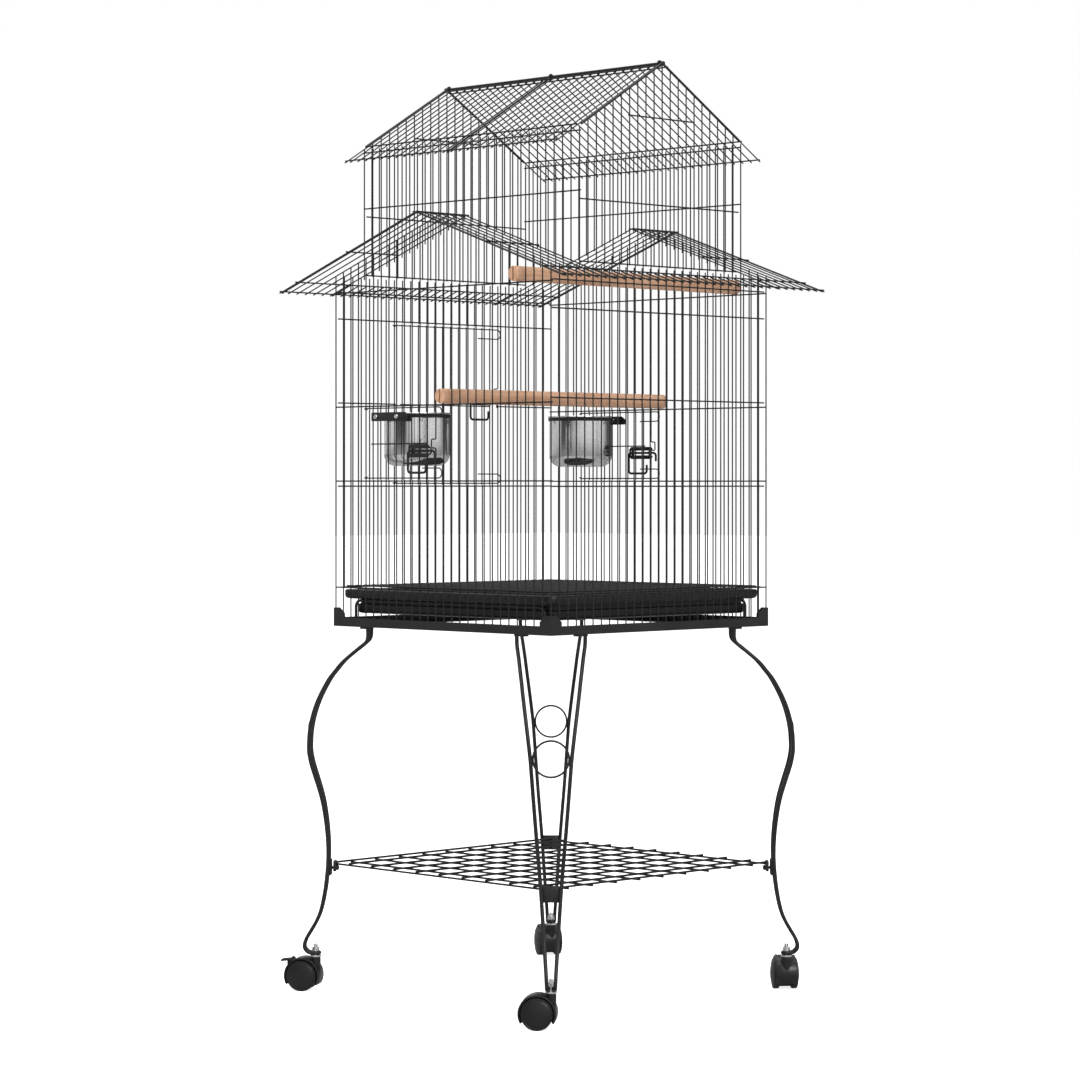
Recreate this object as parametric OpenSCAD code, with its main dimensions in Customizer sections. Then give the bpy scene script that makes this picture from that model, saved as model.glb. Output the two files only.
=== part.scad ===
/* [Cage] */
// Side of the square cage, between the corner wires
cage_side = 420; // [416:1:424]
// Radius of the upright wires
wire_r = 1; // [0.9:0.05:1.1]
// Thickness of the cross bars
bar_t = 2.4; // [2.2:0.1:2.5]
// Radius of the thick rafters and of the ridge bar
rafter_r = 2; // [1.6:0.1:2]
// Width of the tower on the cage's roof
tower_w = 315; // [312:1:318]
// Radius of the perches
perch_r = 10; // [8:0.5:10.5]

/* [Stand] */
// Height of the stand's top frame above the ground
stand_z = 503; // [500:1:504]
// Radius of the leg rods
rod_r = 2.6; // [2.4:0.1:2.7]
// Height of the lower shelf above the ground
shelf_z = 177; // [174:1:180]
// Distance from the cage's centre to each caster's stem
stem_reach = 325; // [324:1:326]
// Radius of the caster wheels
wheel_r = 21; // [20:0.5:22]

/* [Cups and tray] */
// Outer radius of the feeding cups
cup_r = 45; // [43:0.5:45]
// Height of the feeding cups
cup_h = 72.4; // [70:0.1:74]
// Thickness of the cup wall
cup_wall = 0.9; // [0.8:0.1:1.2]
// Thickness of the tray wall
tray_wall = 4; // [3:0.5:5]

/* [Hidden] */
$fn = 32;

// Colours
iron = "#2f2f32";
plastic = "#1c1c1e";
steel = "#c9ccd0";
beech = "#d9a06a";

// Fits
hair = 0.05;
run = 0.08;
weld = 0.4;

// The wires stand on one pitch all round; the first and last are the corner wires
half = cage_side / 2;
gaps = 27;
pitch = cage_side / gaps;
function wire_x(i) = -half + i * pitch;

// Heights of the walls
skirt_z = stand_z + 1.5;
base_bar_z = 556.5;
side_bars = [base_bar_z, 703, 805, 962];
end_bars = [base_bar_z, 696, 811, 927, 964];
grille_z = 558.6;

// The lower roof: its ridge runs along X and its slopes fall to the front and back
low_ridge_z = 1060;
low_pitch = 19.2;
low_reach = 275;
low_end = 254;
function low_z(y) = low_ridge_z - abs(y) * tan(low_pitch);

// The upper roof: its ridge runs along Y and its slopes fall to the sides
top_ridge_z = 1261;
top_pitch = 30.9;
top_reach = 195;
function top_z(x) = top_ridge_z - abs(x) * tan(top_pitch);
tower_half = tower_w / 2;
tower_gaps = 20;
tower_pitch = tower_w / tower_gaps;

// Doors: the first and last wire are the jambs, and the door hangs on the first
door_off = 0.9;
frame_r = 1.2;
frame_flat = 1.1;
eye_r = wire_r + run + frame_r;
side_jambs = [4, 13];
end_jambs = [7, 20];
side_door_z = [707, 802];
end_door_z = [700, 922];
turn_r = 6.7;
side_turn = 14;
side_back = 24;
end_turn = 7;
end_back = 38;
feeder_bar_z = 753.6;

// Latches, measured along the wall from the jamb wire that the hook reaches
latch_r = 1.6;
latch_y = -5.6;
plate_s = [-45.8, -4];
plate_y = [-8.4, -2];
plate_h = 17.5;
window_s = [-42, -9.4];
window_h = 6.7;
side_latch_z = 743.5;
end_latch_z = 821.2;
hook = [4, -12];
handle_s = [-49.2, -13.8];
handle_z = [-29.3, -17];
keeper_out = 8;
keeper_z = [3.6, 15.5];

// Cups, placed from the side wall's wire plane
cup_in = 50.2;
cup_along = -99.6;
cup_rim_z = 796.2;
cup_lip = [1.9, 2.4];
band_r = [cup_r + 0.3, cup_r + 1.5];
band_z = [789.2, 793.7];
clamp_x = [-133.4, -68, -60.6];
clamp_nose = 791.6;
clamp_z = [784.6, 796.4];
clamp_t = 1.2;
clamp_screws = [-123.4, -81.9];
screw_r = 1.9;
screw_head = [3.2, 2];

// Tray
tray_half = 191.6;
rim_half = 205.2;
tray_z = 521;
rim_z = [541, 553.8];
tray_rail_x = 196;
tray_rail_r = 2;

// Stand's top frame
flange = 12;
sheet = 1;
rail_out = half + wire_r + 0.2 + sheet;
shelf_in = 18;
tab_h = 25.5;
tab_w = [20, 11];
plate_size = [18, 9.5, 2.5];
bolt_r = 2;
bolt_at = [151, 205.7];
// radius and height of the heads of the frame bolts, shelf bolts and corner screws
pan_head = [3.8, 3];
shelf_head = [3.6, 4];
corner_head = [2.6, 1.6];
fit = 0.1;
hole_in = 7;
hole_up = 5;
hole_r = 1.6;

// Legs, drawn in the plane of the cage's diagonal as distance from the centre, height
// and, last, as half of the spread between its two rods
leg_end_w = 5.3;
leg_curve = [
  [250.6, 501, 44.7], [250.6, 489, 44.4], [254, 481.2, 43.4], [268.2, 469.6, 41.6],
  [296.1, 442, 38], [320.3, 400.7, 33], [332.5, 345.5, 26.5], [313, 256, 19.8],
  [307, 185, 13.9], [317, 112, 9], [339, 68, 6.1], [336, 54, 5.4], [stem_reach, 52, leg_end_w]
];
leg_steps = 3;
ring_out = 24.7;
ring_wire = 1.4;
ring_at = [333, 347];
bracket_z = [160, 181];
bracket_w = 22;
bracket_out = [302.6, 306.6];
lug_out = [296.4, 300.2];
lug_z = [165, 179];
shelf_bolt_z = 169.4;

// Casters, drawn about the swivel axis with the wheels trailing along -X
stem_r = 2.5;
trail = 17;
axle_r = 3;
spine = 7.8;
wheel_w = 8.7;
dome = 3.2;
hood_gap = 1;
hood_t = 3;
hood_w = 14.5;
hood_low = 9.5;
boss_r = 7;
boss_z = 46;
lever_pin = [-34.5, 41.5];
lever_ear = 8.2;
lever_pad = [14.5, 13.6, 2.8];
lever_tilt = 8;

// Corner signs and the direction in which each caster trails
corners = [[-1, -1], [1, -1], [-1, 1], [1, 1]];
trails = [239, 304, 229, 309];

// ---- wires and bars: a panel lies in the XZ plane, and its inner side is +Y ----

module upright(x, z0, z1, r = wire_r) {
  translate([x, 0, z0])
    cylinder(r = r, h = z1 - z0);
}

// A bar welded across the wires, on the inner side or, with side = -1, on the outer side
module bar(x0, x1, z, side = 1) {
  y0 = side > 0 ? wire_r - weld : -(wire_r - weld) - bar_t;
  translate([x0, y0, z - bar_t / 2])
    cube([x1 - x0, bar_t, bar_t]);
}

// A round rod from a to b with ball ends
module rod(a, b, r) {
  d = b - a;
  run_xy = norm([d[0], d[1]]);
  translate(a)
    sphere(r = r);
  translate(b)
    sphere(r = r);
  translate(a)
    rotate([0, atan2(run_xy, d[2]), atan2(d[1], d[0])])
      cylinder(r = r, h = norm(d));
}

module on_front() {
  translate([0, -half, 0])
    children();
}

module on_back() {
  mirror([0, 1, 0])
    on_front()
      children();
}

module on_right() {
  rotate([0, 0, 90])
    on_front()
      children();
}

module on_left() {
  mirror([1, 0, 0])
    on_right()
      children();
}

// Points along an arc about c, from angle a0 to a1
function arc(c, r, a0, a1, n) = [
  for (k = [0:n]) let (a = a0 + (a1 - a0) * k / n) c + r * [cos(a), sin(a)]
];

// The jamb wire that a latch hooks beside has a short outward jog as its keeper
module keeper_wire(x, z0, z1, latch_z) {
  low = latch_z + keeper_z[0];
  high = latch_z + keeper_z[1];
  upright(x, z0, low);
  upright(x, high, z1);
  rod([x, 0, low], [x, -keeper_out, low], wire_r);
  rod([x, -keeper_out, low], [x, -keeper_out, high], wire_r);
  rod([x, -keeper_out, high], [x, 0, high], wire_r);
}

// ---- lower walls ----

module side_wires(first, last, z0, top) {
  for (i = [first:last])
    upright(wire_x(i), z0, top < 0 ? low_z(wire_x(i)) - 1.5 : top);
}

module side_wall() {
  hinge = side_jambs[0];
  strike = side_jambs[1];
  door_x = [wire_x(hinge) + wire_r + hair, wire_x(strike) - wire_r - hair];
  union() {
    side_wires(0, hinge, skirt_z, -1);
    for (z = side_bars)
      bar(-half, wire_x(hinge) + wire_r, z);
  }
  tray_rail();
  union() {
    keeper_wire(wire_x(strike), skirt_z, low_z(wire_x(strike)) - 1.5, side_latch_z);
    side_wires(strike + 1, gaps, skirt_z, -1);
    for (z = side_bars)
      bar(wire_x(strike) - wire_r, half, z);
  }
  union() {
    side_wires(hinge + 1, strike - 1, skirt_z, side_bars[1] + bar_t / 2);
    for (z = [side_bars[0], side_bars[1]])
      bar(door_x[0], door_x[1], z);
  }
  union() {
    for (i = [hinge + 1:strike - 1])
      upright(wire_x(i), side_bars[2] - bar_t / 2, low_z(wire_x(i)) - 1.5);
    for (z = [side_bars[2], side_bars[3]])
      bar(door_x[0], door_x[1], z);
  }
}

// The rail that the tray's rim runs on, with its ends bent down to the stand
module tray_rail() {
  y = half - tray_rail_x;
  z = rim_z[0] - 0.3 - tray_rail_r;
  reach = half - 26;
  union() {
    rod([-reach, y, z], [reach, y, z], tray_rail_r);
    for (x = [-reach, reach])
      translate([x, y, stand_z + 1.3])
        cylinder(r = tray_rail_r, h = z - stand_z - 1.3);
  }
}

module wall_right() {
  color(iron)
    on_right()
      side_wall();
}

module wall_left() {
  color(iron)
    on_left()
      side_wall();
}

end_top = low_z(half) - 1.5;

module wall_front() {
  hinge = end_jambs[1];
  strike = end_jambs[0];
  door_x = [wire_x(strike) + wire_r + hair, wire_x(hinge) - wire_r - hair];
  edge = half - wire_r - bar_t + weld - 0.2;
  z0 = base_bar_z - bar_t / 2;
  color(iron)
    on_front() {
      union() {
        for (i = [1:strike - 1])
          upright(wire_x(i), z0, end_top);
        keeper_wire(wire_x(strike), z0, end_top, end_latch_z);
        for (z = end_bars)
          bar(-edge, wire_x(strike) + wire_r, z);
      }
      union() {
        for (i = [hinge:gaps - 1])
          upright(wire_x(i), z0, end_top);
        for (z = end_bars)
          bar(wire_x(hinge) - wire_r, edge, z);
      }
      union() {
        for (i = [strike + 1:hinge - 1])
          upright(wire_x(i), z0, end_bars[1] + bar_t / 2);
        for (z = [end_bars[0], end_bars[1]])
          bar(door_x[0], door_x[1], z);
      }
      union() {
        for (i = [strike + 1:hinge - 1])
          upright(wire_x(i), end_bars[3] - bar_t / 2, end_top);
        for (z = [end_bars[3], end_bars[4]])
          bar(door_x[0], door_x[1], z);
      }
    }
}

module wall_back() {
  edge = half - wire_r - bar_t + weld - 0.2;
  color(iron)
    on_back()
      union() {
        for (i = [1:gaps - 1])
          upright(wire_x(i), skirt_z, end_top);
        for (z = end_bars)
          bar(-edge, edge, z);
      }
}

// ---- tower ----

module tower_side() {
  translate([0, half - tower_half, 0])
    union() {
      for (i = [0:gaps])
        upright(wire_x(i), low_z(wire_x(i)) - 4, top_z(tower_half) - 2);
      for (z = [1082, 1160])
        bar(-half, half, z);
    }
}

module tower_right() {
  color(iron)
    on_right()
      tower_side();
}

module tower_left() {
  color(iron)
    on_left()
      tower_side();
}

module tower_end() {
  edge = tower_half - wire_r - bar_t + weld - 0.2;
  union() {
    for (i = [1:tower_gaps - 1])
      let (x = -tower_half + i * tower_pitch)
        upright(x, end_top + 2.5, top_z(x) - 3);
    for (z = [end_top + 4, 1071])
      bar(-edge, edge, z);
    bar(-4 * tower_pitch, 4 * tower_pitch, 1187);
  }
}

module tower_front() {
  color(iron)
    on_front()
      tower_end();
}

module tower_back() {
  color(iron)
    on_back()
      tower_end();
}

// ---- lower roof: wires run down the slope, bars lie on top ----

module low_wire(x, y0, y1) {
  upright(x, y0 / cos(low_pitch), y1 / cos(low_pitch));
}

module low_slope() {
  start = tower_half + 4;
  step = (low_end - start) / 6;
  strip_y = 242;
  translate([0, 0, low_ridge_z])
    rotate([-(90 + low_pitch), 0, 0]) {
      for (s = [0, 1])
        mirror([s, 0, 0])
          union() {
            for (k = [0:6])
              low_wire(start + k * step, 1.2, low_reach + 3);
            low_wire(low_end - 4, 1.2, low_reach + 3);
            for (y = [3, 137, strip_y, low_reach])
              bar(tower_half + 2 + hair, low_end + 2, y / cos(low_pitch), -1);
          }
      union() {
        for (i = [0:tower_gaps])
          low_wire(-tower_half + i * tower_pitch, strip_y - 3, low_reach + 3);
        for (y = [strip_y, low_reach])
          bar(-tower_half - 2, tower_half + 2, y / cos(low_pitch), -1);
      }
    }
}

module lower_roof_back() {
  color(iron)
    low_slope();
}

module lower_roof_front() {
  color(iron)
    mirror([0, 1, 0])
      low_slope();
}

// ---- upper roof ----

ridge_r = rafter_r + 0.15;
gable_y = half + 0.2;
eave_t = tower_half / cos(top_pitch);
far_t = top_reach / cos(top_pitch);

// Places a slope, drawn flat with Y down the slope, on the right of the ridge
module on_slope() {
  translate([0, 0, top_ridge_z])
    rotate([0, 90 + top_pitch, 0])
      rotate([0, 0, -90])
        children();
}

// The first bar clears the wire eyes that turn on the ridge bar
module top_slope(wires_from, edge_from, edge) {
  for (i = [1:gaps - 1])
    upright(wire_x(i), wires_from, far_t + 3);
  for (y = [-edge, edge])
    upright(y, edge_from, far_t + 3);
  for (t = [11, eave_t, far_t])
    bar(-edge, edge, t, -1);
}

module gable_rods() {
  for (y = [-gable_y, gable_y])
    upright(y, 0, eave_t - 3, rafter_r);
}

module ridge_bar() {
  translate([0, half + 3, top_ridge_z])
    rotate([90, 0, 0])
      cylinder(r = ridge_r, h = 2 * half + 6);
}

module upper_roof() {
  color(iron)
    union() {
      ridge_bar();
      on_slope()
        gable_rods();
      mirror([1, 0, 0])
        on_slope() {
          gable_rods();
          top_slope(3.5, eave_t - 5, gable_y);
        }
    }
}

module roof_flap() {
  reach = half - rafter_r * 2 - 0.6;
  eye_wire = 1.6;
  eye = ridge_r + run + eye_wire;
  color(iron)
    union() {
      on_slope() {
        top_slope(9, eye, reach);
        upright(0, eye, far_t + 2, rafter_r);
      }
      for (y = [-reach, 0, reach])
        translate([0, y, top_ridge_z])
          rotate([90, 0, 0])
            rotate_extrude()
              translate([eye, 0])
                circle(r = eye_wire);
    }
}

// ---- doors: drawn hinge to the left, strike jamb at x1 ----

// A frame wire with its eye round the hinge wire and a hairpin at the strike end; up says
// which way the hairpin turns
module door_frame_wire(x0, x1, z, turn, back, up) {
  y = -door_off - wire_r + weld - frame_r;
  end = x1 + turn - turn_r;
  centre = [end, turn_r];
  turned = concat(
    arc(centre, turn_r + frame_flat, -90, 90, 12),
    [[x1 - back, 2 * turn_r + frame_flat], [x1 - back, 2 * turn_r - frame_flat]],
    arc(centre, turn_r - frame_flat, 90, -90, 12)
  );
  translate([x0, 0, z])
    rotate_extrude()
      translate([eye_r, 0])
        circle(r = frame_r);
  translate([0, y + frame_flat, z])
    mirror([0, 0, up < 0 ? 1 : 0])
      rotate([90, 0, 0])
        linear_extrude(2 * frame_flat)
          polygon(concat([[x0 - 0.3, frame_flat], [x0 - 0.3, -frame_flat]], turned));
}

module door(jambs, zs, turn, back, mid_bars) {
  x0 = wire_x(jambs[0]);
  x1 = wire_x(jambs[1]);
  union() {
    translate([0, -door_off, 0]) {
      for (i = [jambs[0] + 1:jambs[1] - 1])
        upright(wire_x(i), zs[0] - frame_r - 0.5, zs[1] + frame_r + 0.5);
      for (z = mid_bars)
        bar(wire_x(jambs[0] + 1) - wire_r, wire_x(jambs[1] - 1) + wire_r, z, -1);
    }
    door_frame_wire(x0, x1, zs[0], turn, back, 1);
    door_frame_wire(x0, x1, zs[1], turn, back, -1);
  }
}

// A clip with a bore for the rod and a window across its middle
module latch_plate(x1, z) {
  size = [plate_s[1] - plate_s[0], plate_y[1] - plate_y[0], plate_h];
  translate([x1, 0, z])
    difference() {
      translate([plate_s[0], plate_y[0], -plate_h / 2])
        cube(size);
      translate([window_s[0], plate_y[0] - 1, -window_h / 2])
        cube([window_s[1] - window_s[0], size[1] + 2, window_h]);
      translate([plate_s[0] - 1, latch_y, 0])
        rotate([0, 90, 0])
          cylinder(r = latch_r + run, h = size[0] + 2);
    }
}

module latch_rod(x1, z) {
  path = [
    [hook[0], hook[1]], [hook[0], 0], [handle_s[0], 0],
    [handle_s[0], handle_z[0]], [handle_s[1], handle_z[0]], [handle_s[1], handle_z[1]]
  ];
  translate([x1, latch_y, z])
    union() {
      for (k = [1:len(path) - 1])
        rod([path[k - 1][0], 0, path[k - 1][1]], [path[k][0], 0, path[k][1]], latch_r);
    }
}

// The main door's hinge is on the right, so its drawing is mirrored
module on_main() {
  mirror([1, 0, 0])
    on_front()
      children();
}

main_jambs = [gaps - end_jambs[1], gaps - end_jambs[0]];

module main_door() {
  color(iron)
    on_main()
      door(main_jambs, end_door_z, end_turn, end_back, [end_bars[2]]);
}

module main_latch_plate() {
  color(iron)
    on_main()
      latch_plate(wire_x(main_jambs[1]), end_latch_z);
}

module main_latch_rod() {
  color(iron)
    on_main()
      latch_rod(wire_x(main_jambs[1]), end_latch_z);
}

module feeder_door_right() {
  color(iron)
    on_right()
      door(side_jambs, side_door_z, side_turn, side_back, [feeder_bar_z]);
}

module feeder_door_left() {
  color(iron)
    on_left()
      door(side_jambs, side_door_z, side_turn, side_back, [feeder_bar_z]);
}

module feeder_latch_plate_right() {
  color(iron)
    on_right()
      latch_plate(wire_x(side_jambs[1]), side_latch_z);
}

module feeder_latch_plate_left() {
  color(iron)
    on_left()
      latch_plate(wire_x(side_jambs[1]), side_latch_z);
}

module feeder_latch_rod_right() {
  color(iron)
    on_right()
      latch_rod(wire_x(side_jambs[1]), side_latch_z);
}

module feeder_latch_rod_left() {
  color(iron)
    on_left()
      latch_rod(wire_x(side_jambs[1]), side_latch_z);
}

// ---- cups ----

clamp_y = [0.2, -2 - clamp_t];
clamp_mid = (clamp_z[0] + clamp_z[1]) / 2;

// A flat plate; the outer one has a sloped end
module clamp_plate(y, end_x) {
  outline = [
    [clamp_x[0], clamp_z[0]], [end_x, clamp_z[0]], [end_x, clamp_nose],
    [clamp_x[1], clamp_z[1]], [clamp_x[0], clamp_z[1]]
  ];
  translate([0, y + clamp_t, 0])
    rotate([90, 0, 0])
      linear_extrude(clamp_t)
        difference() {
          polygon(outline);
          for (x = clamp_screws)
            translate([x, clamp_mid])
              circle(r = screw_r + fit);
        }
}

// The cup hangs by its lip in a band, which is joined to the inner plate
module cup_holder() {
  tie_w = 8;
  tie_t = 3.2;
  margin = 0.3;
  union() {
    clamp_plate(clamp_y[0], clamp_x[1]);
    translate([cup_along - tie_w / 2, clamp_y[0] + clamp_t - weld, band_z[0] + margin])
      cube([tie_w, tie_t, band_z[1] - band_z[0] - 2 * margin]);
    translate([cup_along, cup_in, band_z[0]])
      rotate_extrude($fn = 64)
        translate([band_r[0], 0])
          square([band_r[1] - band_r[0], band_z[1] - band_z[0]]);
  }
  clamp_plate(clamp_y[1], clamp_x[2]);
}

module holder_screws() {
  nut_r = 3.8;
  nut_h = 1.9;
  tail = 1.3;
  for (x = clamp_screws)
    translate([x, 0, clamp_mid])
      rotate([-90, 0, 0]) {
        translate([0, 0, clamp_y[1] - fit - screw_head[1]])
          cylinder(r = screw_head[0], h = screw_head[1]);
        translate([0, 0, clamp_y[1] - 1])
          cylinder(r = screw_r, h = clamp_y[0] + clamp_t + nut_h + tail - clamp_y[1]);
        translate([0, 0, clamp_y[0] + clamp_t + fit])
          cylinder(r = nut_r, h = nut_h, $fn = 6);
      }
}

module cup() {
  corner = 16;
  lip = cup_lip[0];
  rim_low = cup_h - cup_lip[1];
  outer = concat(
    [[0, 0]],
    arc([cup_r - corner, corner], corner, -90, 0, 8),
    [[cup_r, rim_low], [cup_r + lip, rim_low], [cup_r + lip, cup_h]]
  );
  inner = concat(
    [[cup_r - cup_wall, cup_h]],
    arc([cup_r - corner, corner], corner - cup_wall, 0, -90, 8),
    [[0, cup_wall]]
  );
  translate([cup_along, cup_in, cup_rim_z - cup_h])
    rotate_extrude($fn = 64)
      polygon(concat(outer, inner));
}

module cup_holder_right() {
  color(iron)
    on_right()
      cup_holder();
}

module cup_holder_left() {
  color(iron)
    on_left()
      cup_holder();
}

module holder_screws_right() {
  color(steel)
    on_right()
      holder_screws();
}

module holder_screws_left() {
  color(steel)
    on_left()
      holder_screws();
}

module cup_right() {
  color(steel)
    on_right()
      cup();
}

module cup_left() {
  color(steel)
    on_left()
      cup();
}

// ---- perches: each end is slotted over one side wire and rests on a bar ----

module perch(i, bar_z) {
  reach = half + 8;
  slot = 2 * wire_r + 0.4;
  z = bar_z + bar_t / 2 + perch_r + 0.1;
  difference() {
    translate([-reach, wire_x(i), z])
      rotate([0, 90, 0])
        cylinder(r = perch_r, h = 2 * reach);
    for (s = [-1, 1])
      translate([s * (half + 8) - 9.4, wire_x(i) - slot / 2, z - perch_r - 1])
        cube([18.8, slot, 2 * perch_r + 2]);
  }
}

module perch_low() {
  color(beech)
    perch(14, side_bars[2]);
}

module perch_high() {
  color(beech)
    perch(23, side_bars[3]);
}

// ---- floor ----

module floor_grille() {
  edge = half - 5;
  color(iron)
    translate([0, 0, grille_z])
      rotate([90, 0, 0])
        union() {
          for (i = [1:gaps - 1])
            translate([0, 0, -edge])
              rotate([-90, 0, 0])
                rotate([90, 0, 0])
                  upright(wire_x(i), 0, 2 * edge);
          for (y = [-edge + 2, -edge / 2, 0, edge / 2, edge - 2])
            translate([-edge, -wire_r + weld - bar_t, y - bar_t / 2])
              cube([2 * edge, bar_t, bar_t]);
        }
}

module round_box(size, r, z0, z1) {
  translate([-size, -size + r, z0])
    cube([2 * size, 2 * (size - r), z1 - z0]);
  translate([-size + r, -size, z0])
    cube([2 * (size - r), 2 * size, z1 - z0]);
  for (c = corners)
    translate([c[0] * (size - r), c[1] * (size - r), z0])
      cylinder(r = r, h = z1 - z0);
}

module tray() {
  color(plastic)
    difference() {
      union() {
        round_box(tray_half, 12, tray_z, rim_z[0] + 1);
        round_box(rim_half, 14, rim_z[0], rim_z[1]);
      }
      round_box(tray_half - tray_wall, 8, tray_z + 3, rim_z[1] + 1);
    }
}

// ---- stand ----

module rail(length, shelf_length, holes) {
  z_tab = stand_z + tab_h;
  z_mid = stand_z + 17;
  z_top = stand_z + flange;
  outline = [
    [-length, stand_z], [length, stand_z], [length, z_tab], [length - tab_w[1], z_tab],
    [length - tab_w[0], z_mid], [length - tab_w[0], z_top],
    [tab_w[0] - length, z_top], [tab_w[0] - length, z_mid],
    [tab_w[1] - length, z_tab], [-length, z_tab]
  ];
  difference() {
    union() {
      translate([0, -rail_out + sheet, 0])
        rotate([90, 0, 0])
          linear_extrude(sheet)
            polygon(outline);
      translate([-shelf_length, -rail_out, stand_z])
        cube([2 * shelf_length, shelf_in, 1.2]);
    }
    for (s = [-1, 1]) {
      translate([s * bolt_at[0], -bolt_at[1], stand_z - 1])
        cylinder(r = bolt_r + fit, h = 4);
      if (holes)
        translate([s * (length - hole_in), -rail_out + sheet + 1, stand_z + hole_up])
          rotate([90, 0, 0])
            cylinder(r = hole_r, h = sheet + 2);
    }
  }
}

module stand_ring() {
  inner = rail_out - sheet - hair;
  color(iron) {
    for (a = [0, 180])
      rotate([0, 0, a])
        rail(rail_out, inner - hair, false);
    for (a = [90, 270])
      rotate([0, 0, a])
        rail(inner, rail_out - shelf_in - hair, true);
  }
}

// Catmull-Rom point between p[i] and p[i + 1]
function knot(p, i) = p[max(0, min(len(p) - 1, i))];
function spline(p, i, t) =
  let (a = knot(p, i - 1), b = knot(p, i), c = knot(p, i + 1), d = knot(p, i + 2))
  0.5 * (2 * b + (c - a) * t + (2 * a - 5 * b + 4 * c - d) * t * t
    + (3 * b - a - 3 * c + d) * t * t * t);

// One rod runs down the leg, round the caster's stem and back up
leg_line = [
  for (i = [0:len(leg_curve) - 2]) for (k = [0:leg_steps - 1])
    spline(leg_curve, i, k / leg_steps)
];
leg_n = len(leg_line);
leg_side = [
  for (p = leg_line) [p[0], p[2], p[1]]
];
leg_loop = [
  for (a = [90:15:270]) [stem_reach + leg_end_w * cos(a), leg_end_w * sin(a), 52]
];
leg_path = concat(
  leg_side,
  leg_loop,
  [for (i = [leg_n - 1:-1:0]) [leg_side[i][0], -leg_side[i][1], leg_side[i][2]]]
);

function unit(v) = v / norm(v);
function heading(p, i) = unit(p[min(len(p) - 1, i + 1)] - p[max(0, i - 1)]);
function normals(p, i, u) = i >= len(p) ? [] :
  let (t = heading(p, i), n = unit(u - (u * t) * t))
  concat([n], normals(p, i + 1, n));

// A tube of a given radius and number of sides along a path
module tube(path, r, sides, start) {
  n = normals(path, 0, start);
  points = [
    for (i = [0:len(path) - 1]) for (k = [0:sides - 1])
      let (t = heading(path, i), b = cross(t, n[i]), a = 360 * k / sides)
      path[i] + r * (cos(a) * n[i] + sin(a) * b)
  ];
  last = (len(path) - 1) * sides;
  skin = [
    for (i = [0:len(path) - 2]) for (k = [0:sides - 1])
      let (m = (k + 1) % sides, j = i * sides)
      [j + k, j + sides + k, j + sides + m, j + m]
  ];
  caps = [
    [for (k = [0:sides - 1]) k],
    [for (k = [sides - 1:-1:0]) last + k]
  ];
  polyhedron(points = points, faces = concat(skin, caps), convexity = 6);
}

module leg_body() {
  ring_r = ring_out - ring_wire;
  union() {
    tube(leg_path, rod_r, 8, [0, 1, 0]);
    translate([ring_at[0], 0, ring_at[1]])
      rotate([0, 90, 0])
        rotate_extrude()
          translate([ring_r, 0])
            circle(r = ring_wire);
    difference() {
      translate([bracket_out[0], -bracket_w / 2, bracket_z[0]])
        cube([bracket_out[1] - bracket_out[0], bracket_w, bracket_z[1] - bracket_z[0]]);
      translate([bracket_out[0] - 1, 0, shelf_bolt_z])
        rotate([0, 90, 0])
          cylinder(r = bolt_r + fit, h = 9);
    }
    // the two plates that bolt to the top frame, one along each rail
    for (s = [0, 1])
      mirror([0, s, 0])
        rotate([0, 0, -45])
          leg_head();
  }
}

// Drawn in the cage's own axes for the rail along X, with the leg at +X +Y
module leg_head() {
  z = stand_z - fit - plate_size[2];
  difference() {
    translate([bolt_at[0] - plate_size[0] / 2, bolt_at[1] - plate_size[1] / 2, z])
      cube(plate_size);
    translate([bolt_at[0], bolt_at[1], z - 1])
      cylinder(r = bolt_r + fit, h = plate_size[2] + 2);
  }
}

module leg(k) {
  color(iron)
    rotate([0, 0, atan2(corners[k][1], corners[k][0])])
      leg_body();
}

module frame_bolts() {
  under = stand_z - fit - plate_size[2];
  head_z = stand_z + 1.3;
  shelf_from = lug_out[0] - shelf_head[1] - fit;
  shelf_to = bracket_out[1] - 0.4;
  color(steel) {
    for (c = corners, flip = [0, 1])
      let (p = flip == 0 ? bolt_at : [bolt_at[1], bolt_at[0]])
        translate([c[0] * p[0], c[1] * p[1], under])
          union() {
            cylinder(r = bolt_r, h = head_z - under + 1);
            translate([0, 0, head_z - under])
              cylinder(r = pan_head[0], h = pan_head[1]);
          }
    for (c = corners)
      rotate([0, 0, atan2(c[1], c[0])])
        translate([shelf_from, 0, shelf_bolt_z])
          rotate([0, 90, 0])
            union() {
              cylinder(r = shelf_head[0], h = shelf_head[1]);
              cylinder(r = bolt_r, h = shelf_to - shelf_from);
            }
    // the screws that hold the frame's corners together
    for (c = corners)
      translate([c[0] * rail_out, c[1] * (rail_out - sheet - hair - hole_in), stand_z + hole_up])
        rotate([0, -90 * c[0], 0])
          union() {
            translate([0, 0, fit])
              cylinder(r = hole_r - fit, h = sheet + 1);
            translate([0, 0, sheet + fit])
              cylinder(r = corner_head[0], h = corner_head[1]);
          }
  }
}

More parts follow.
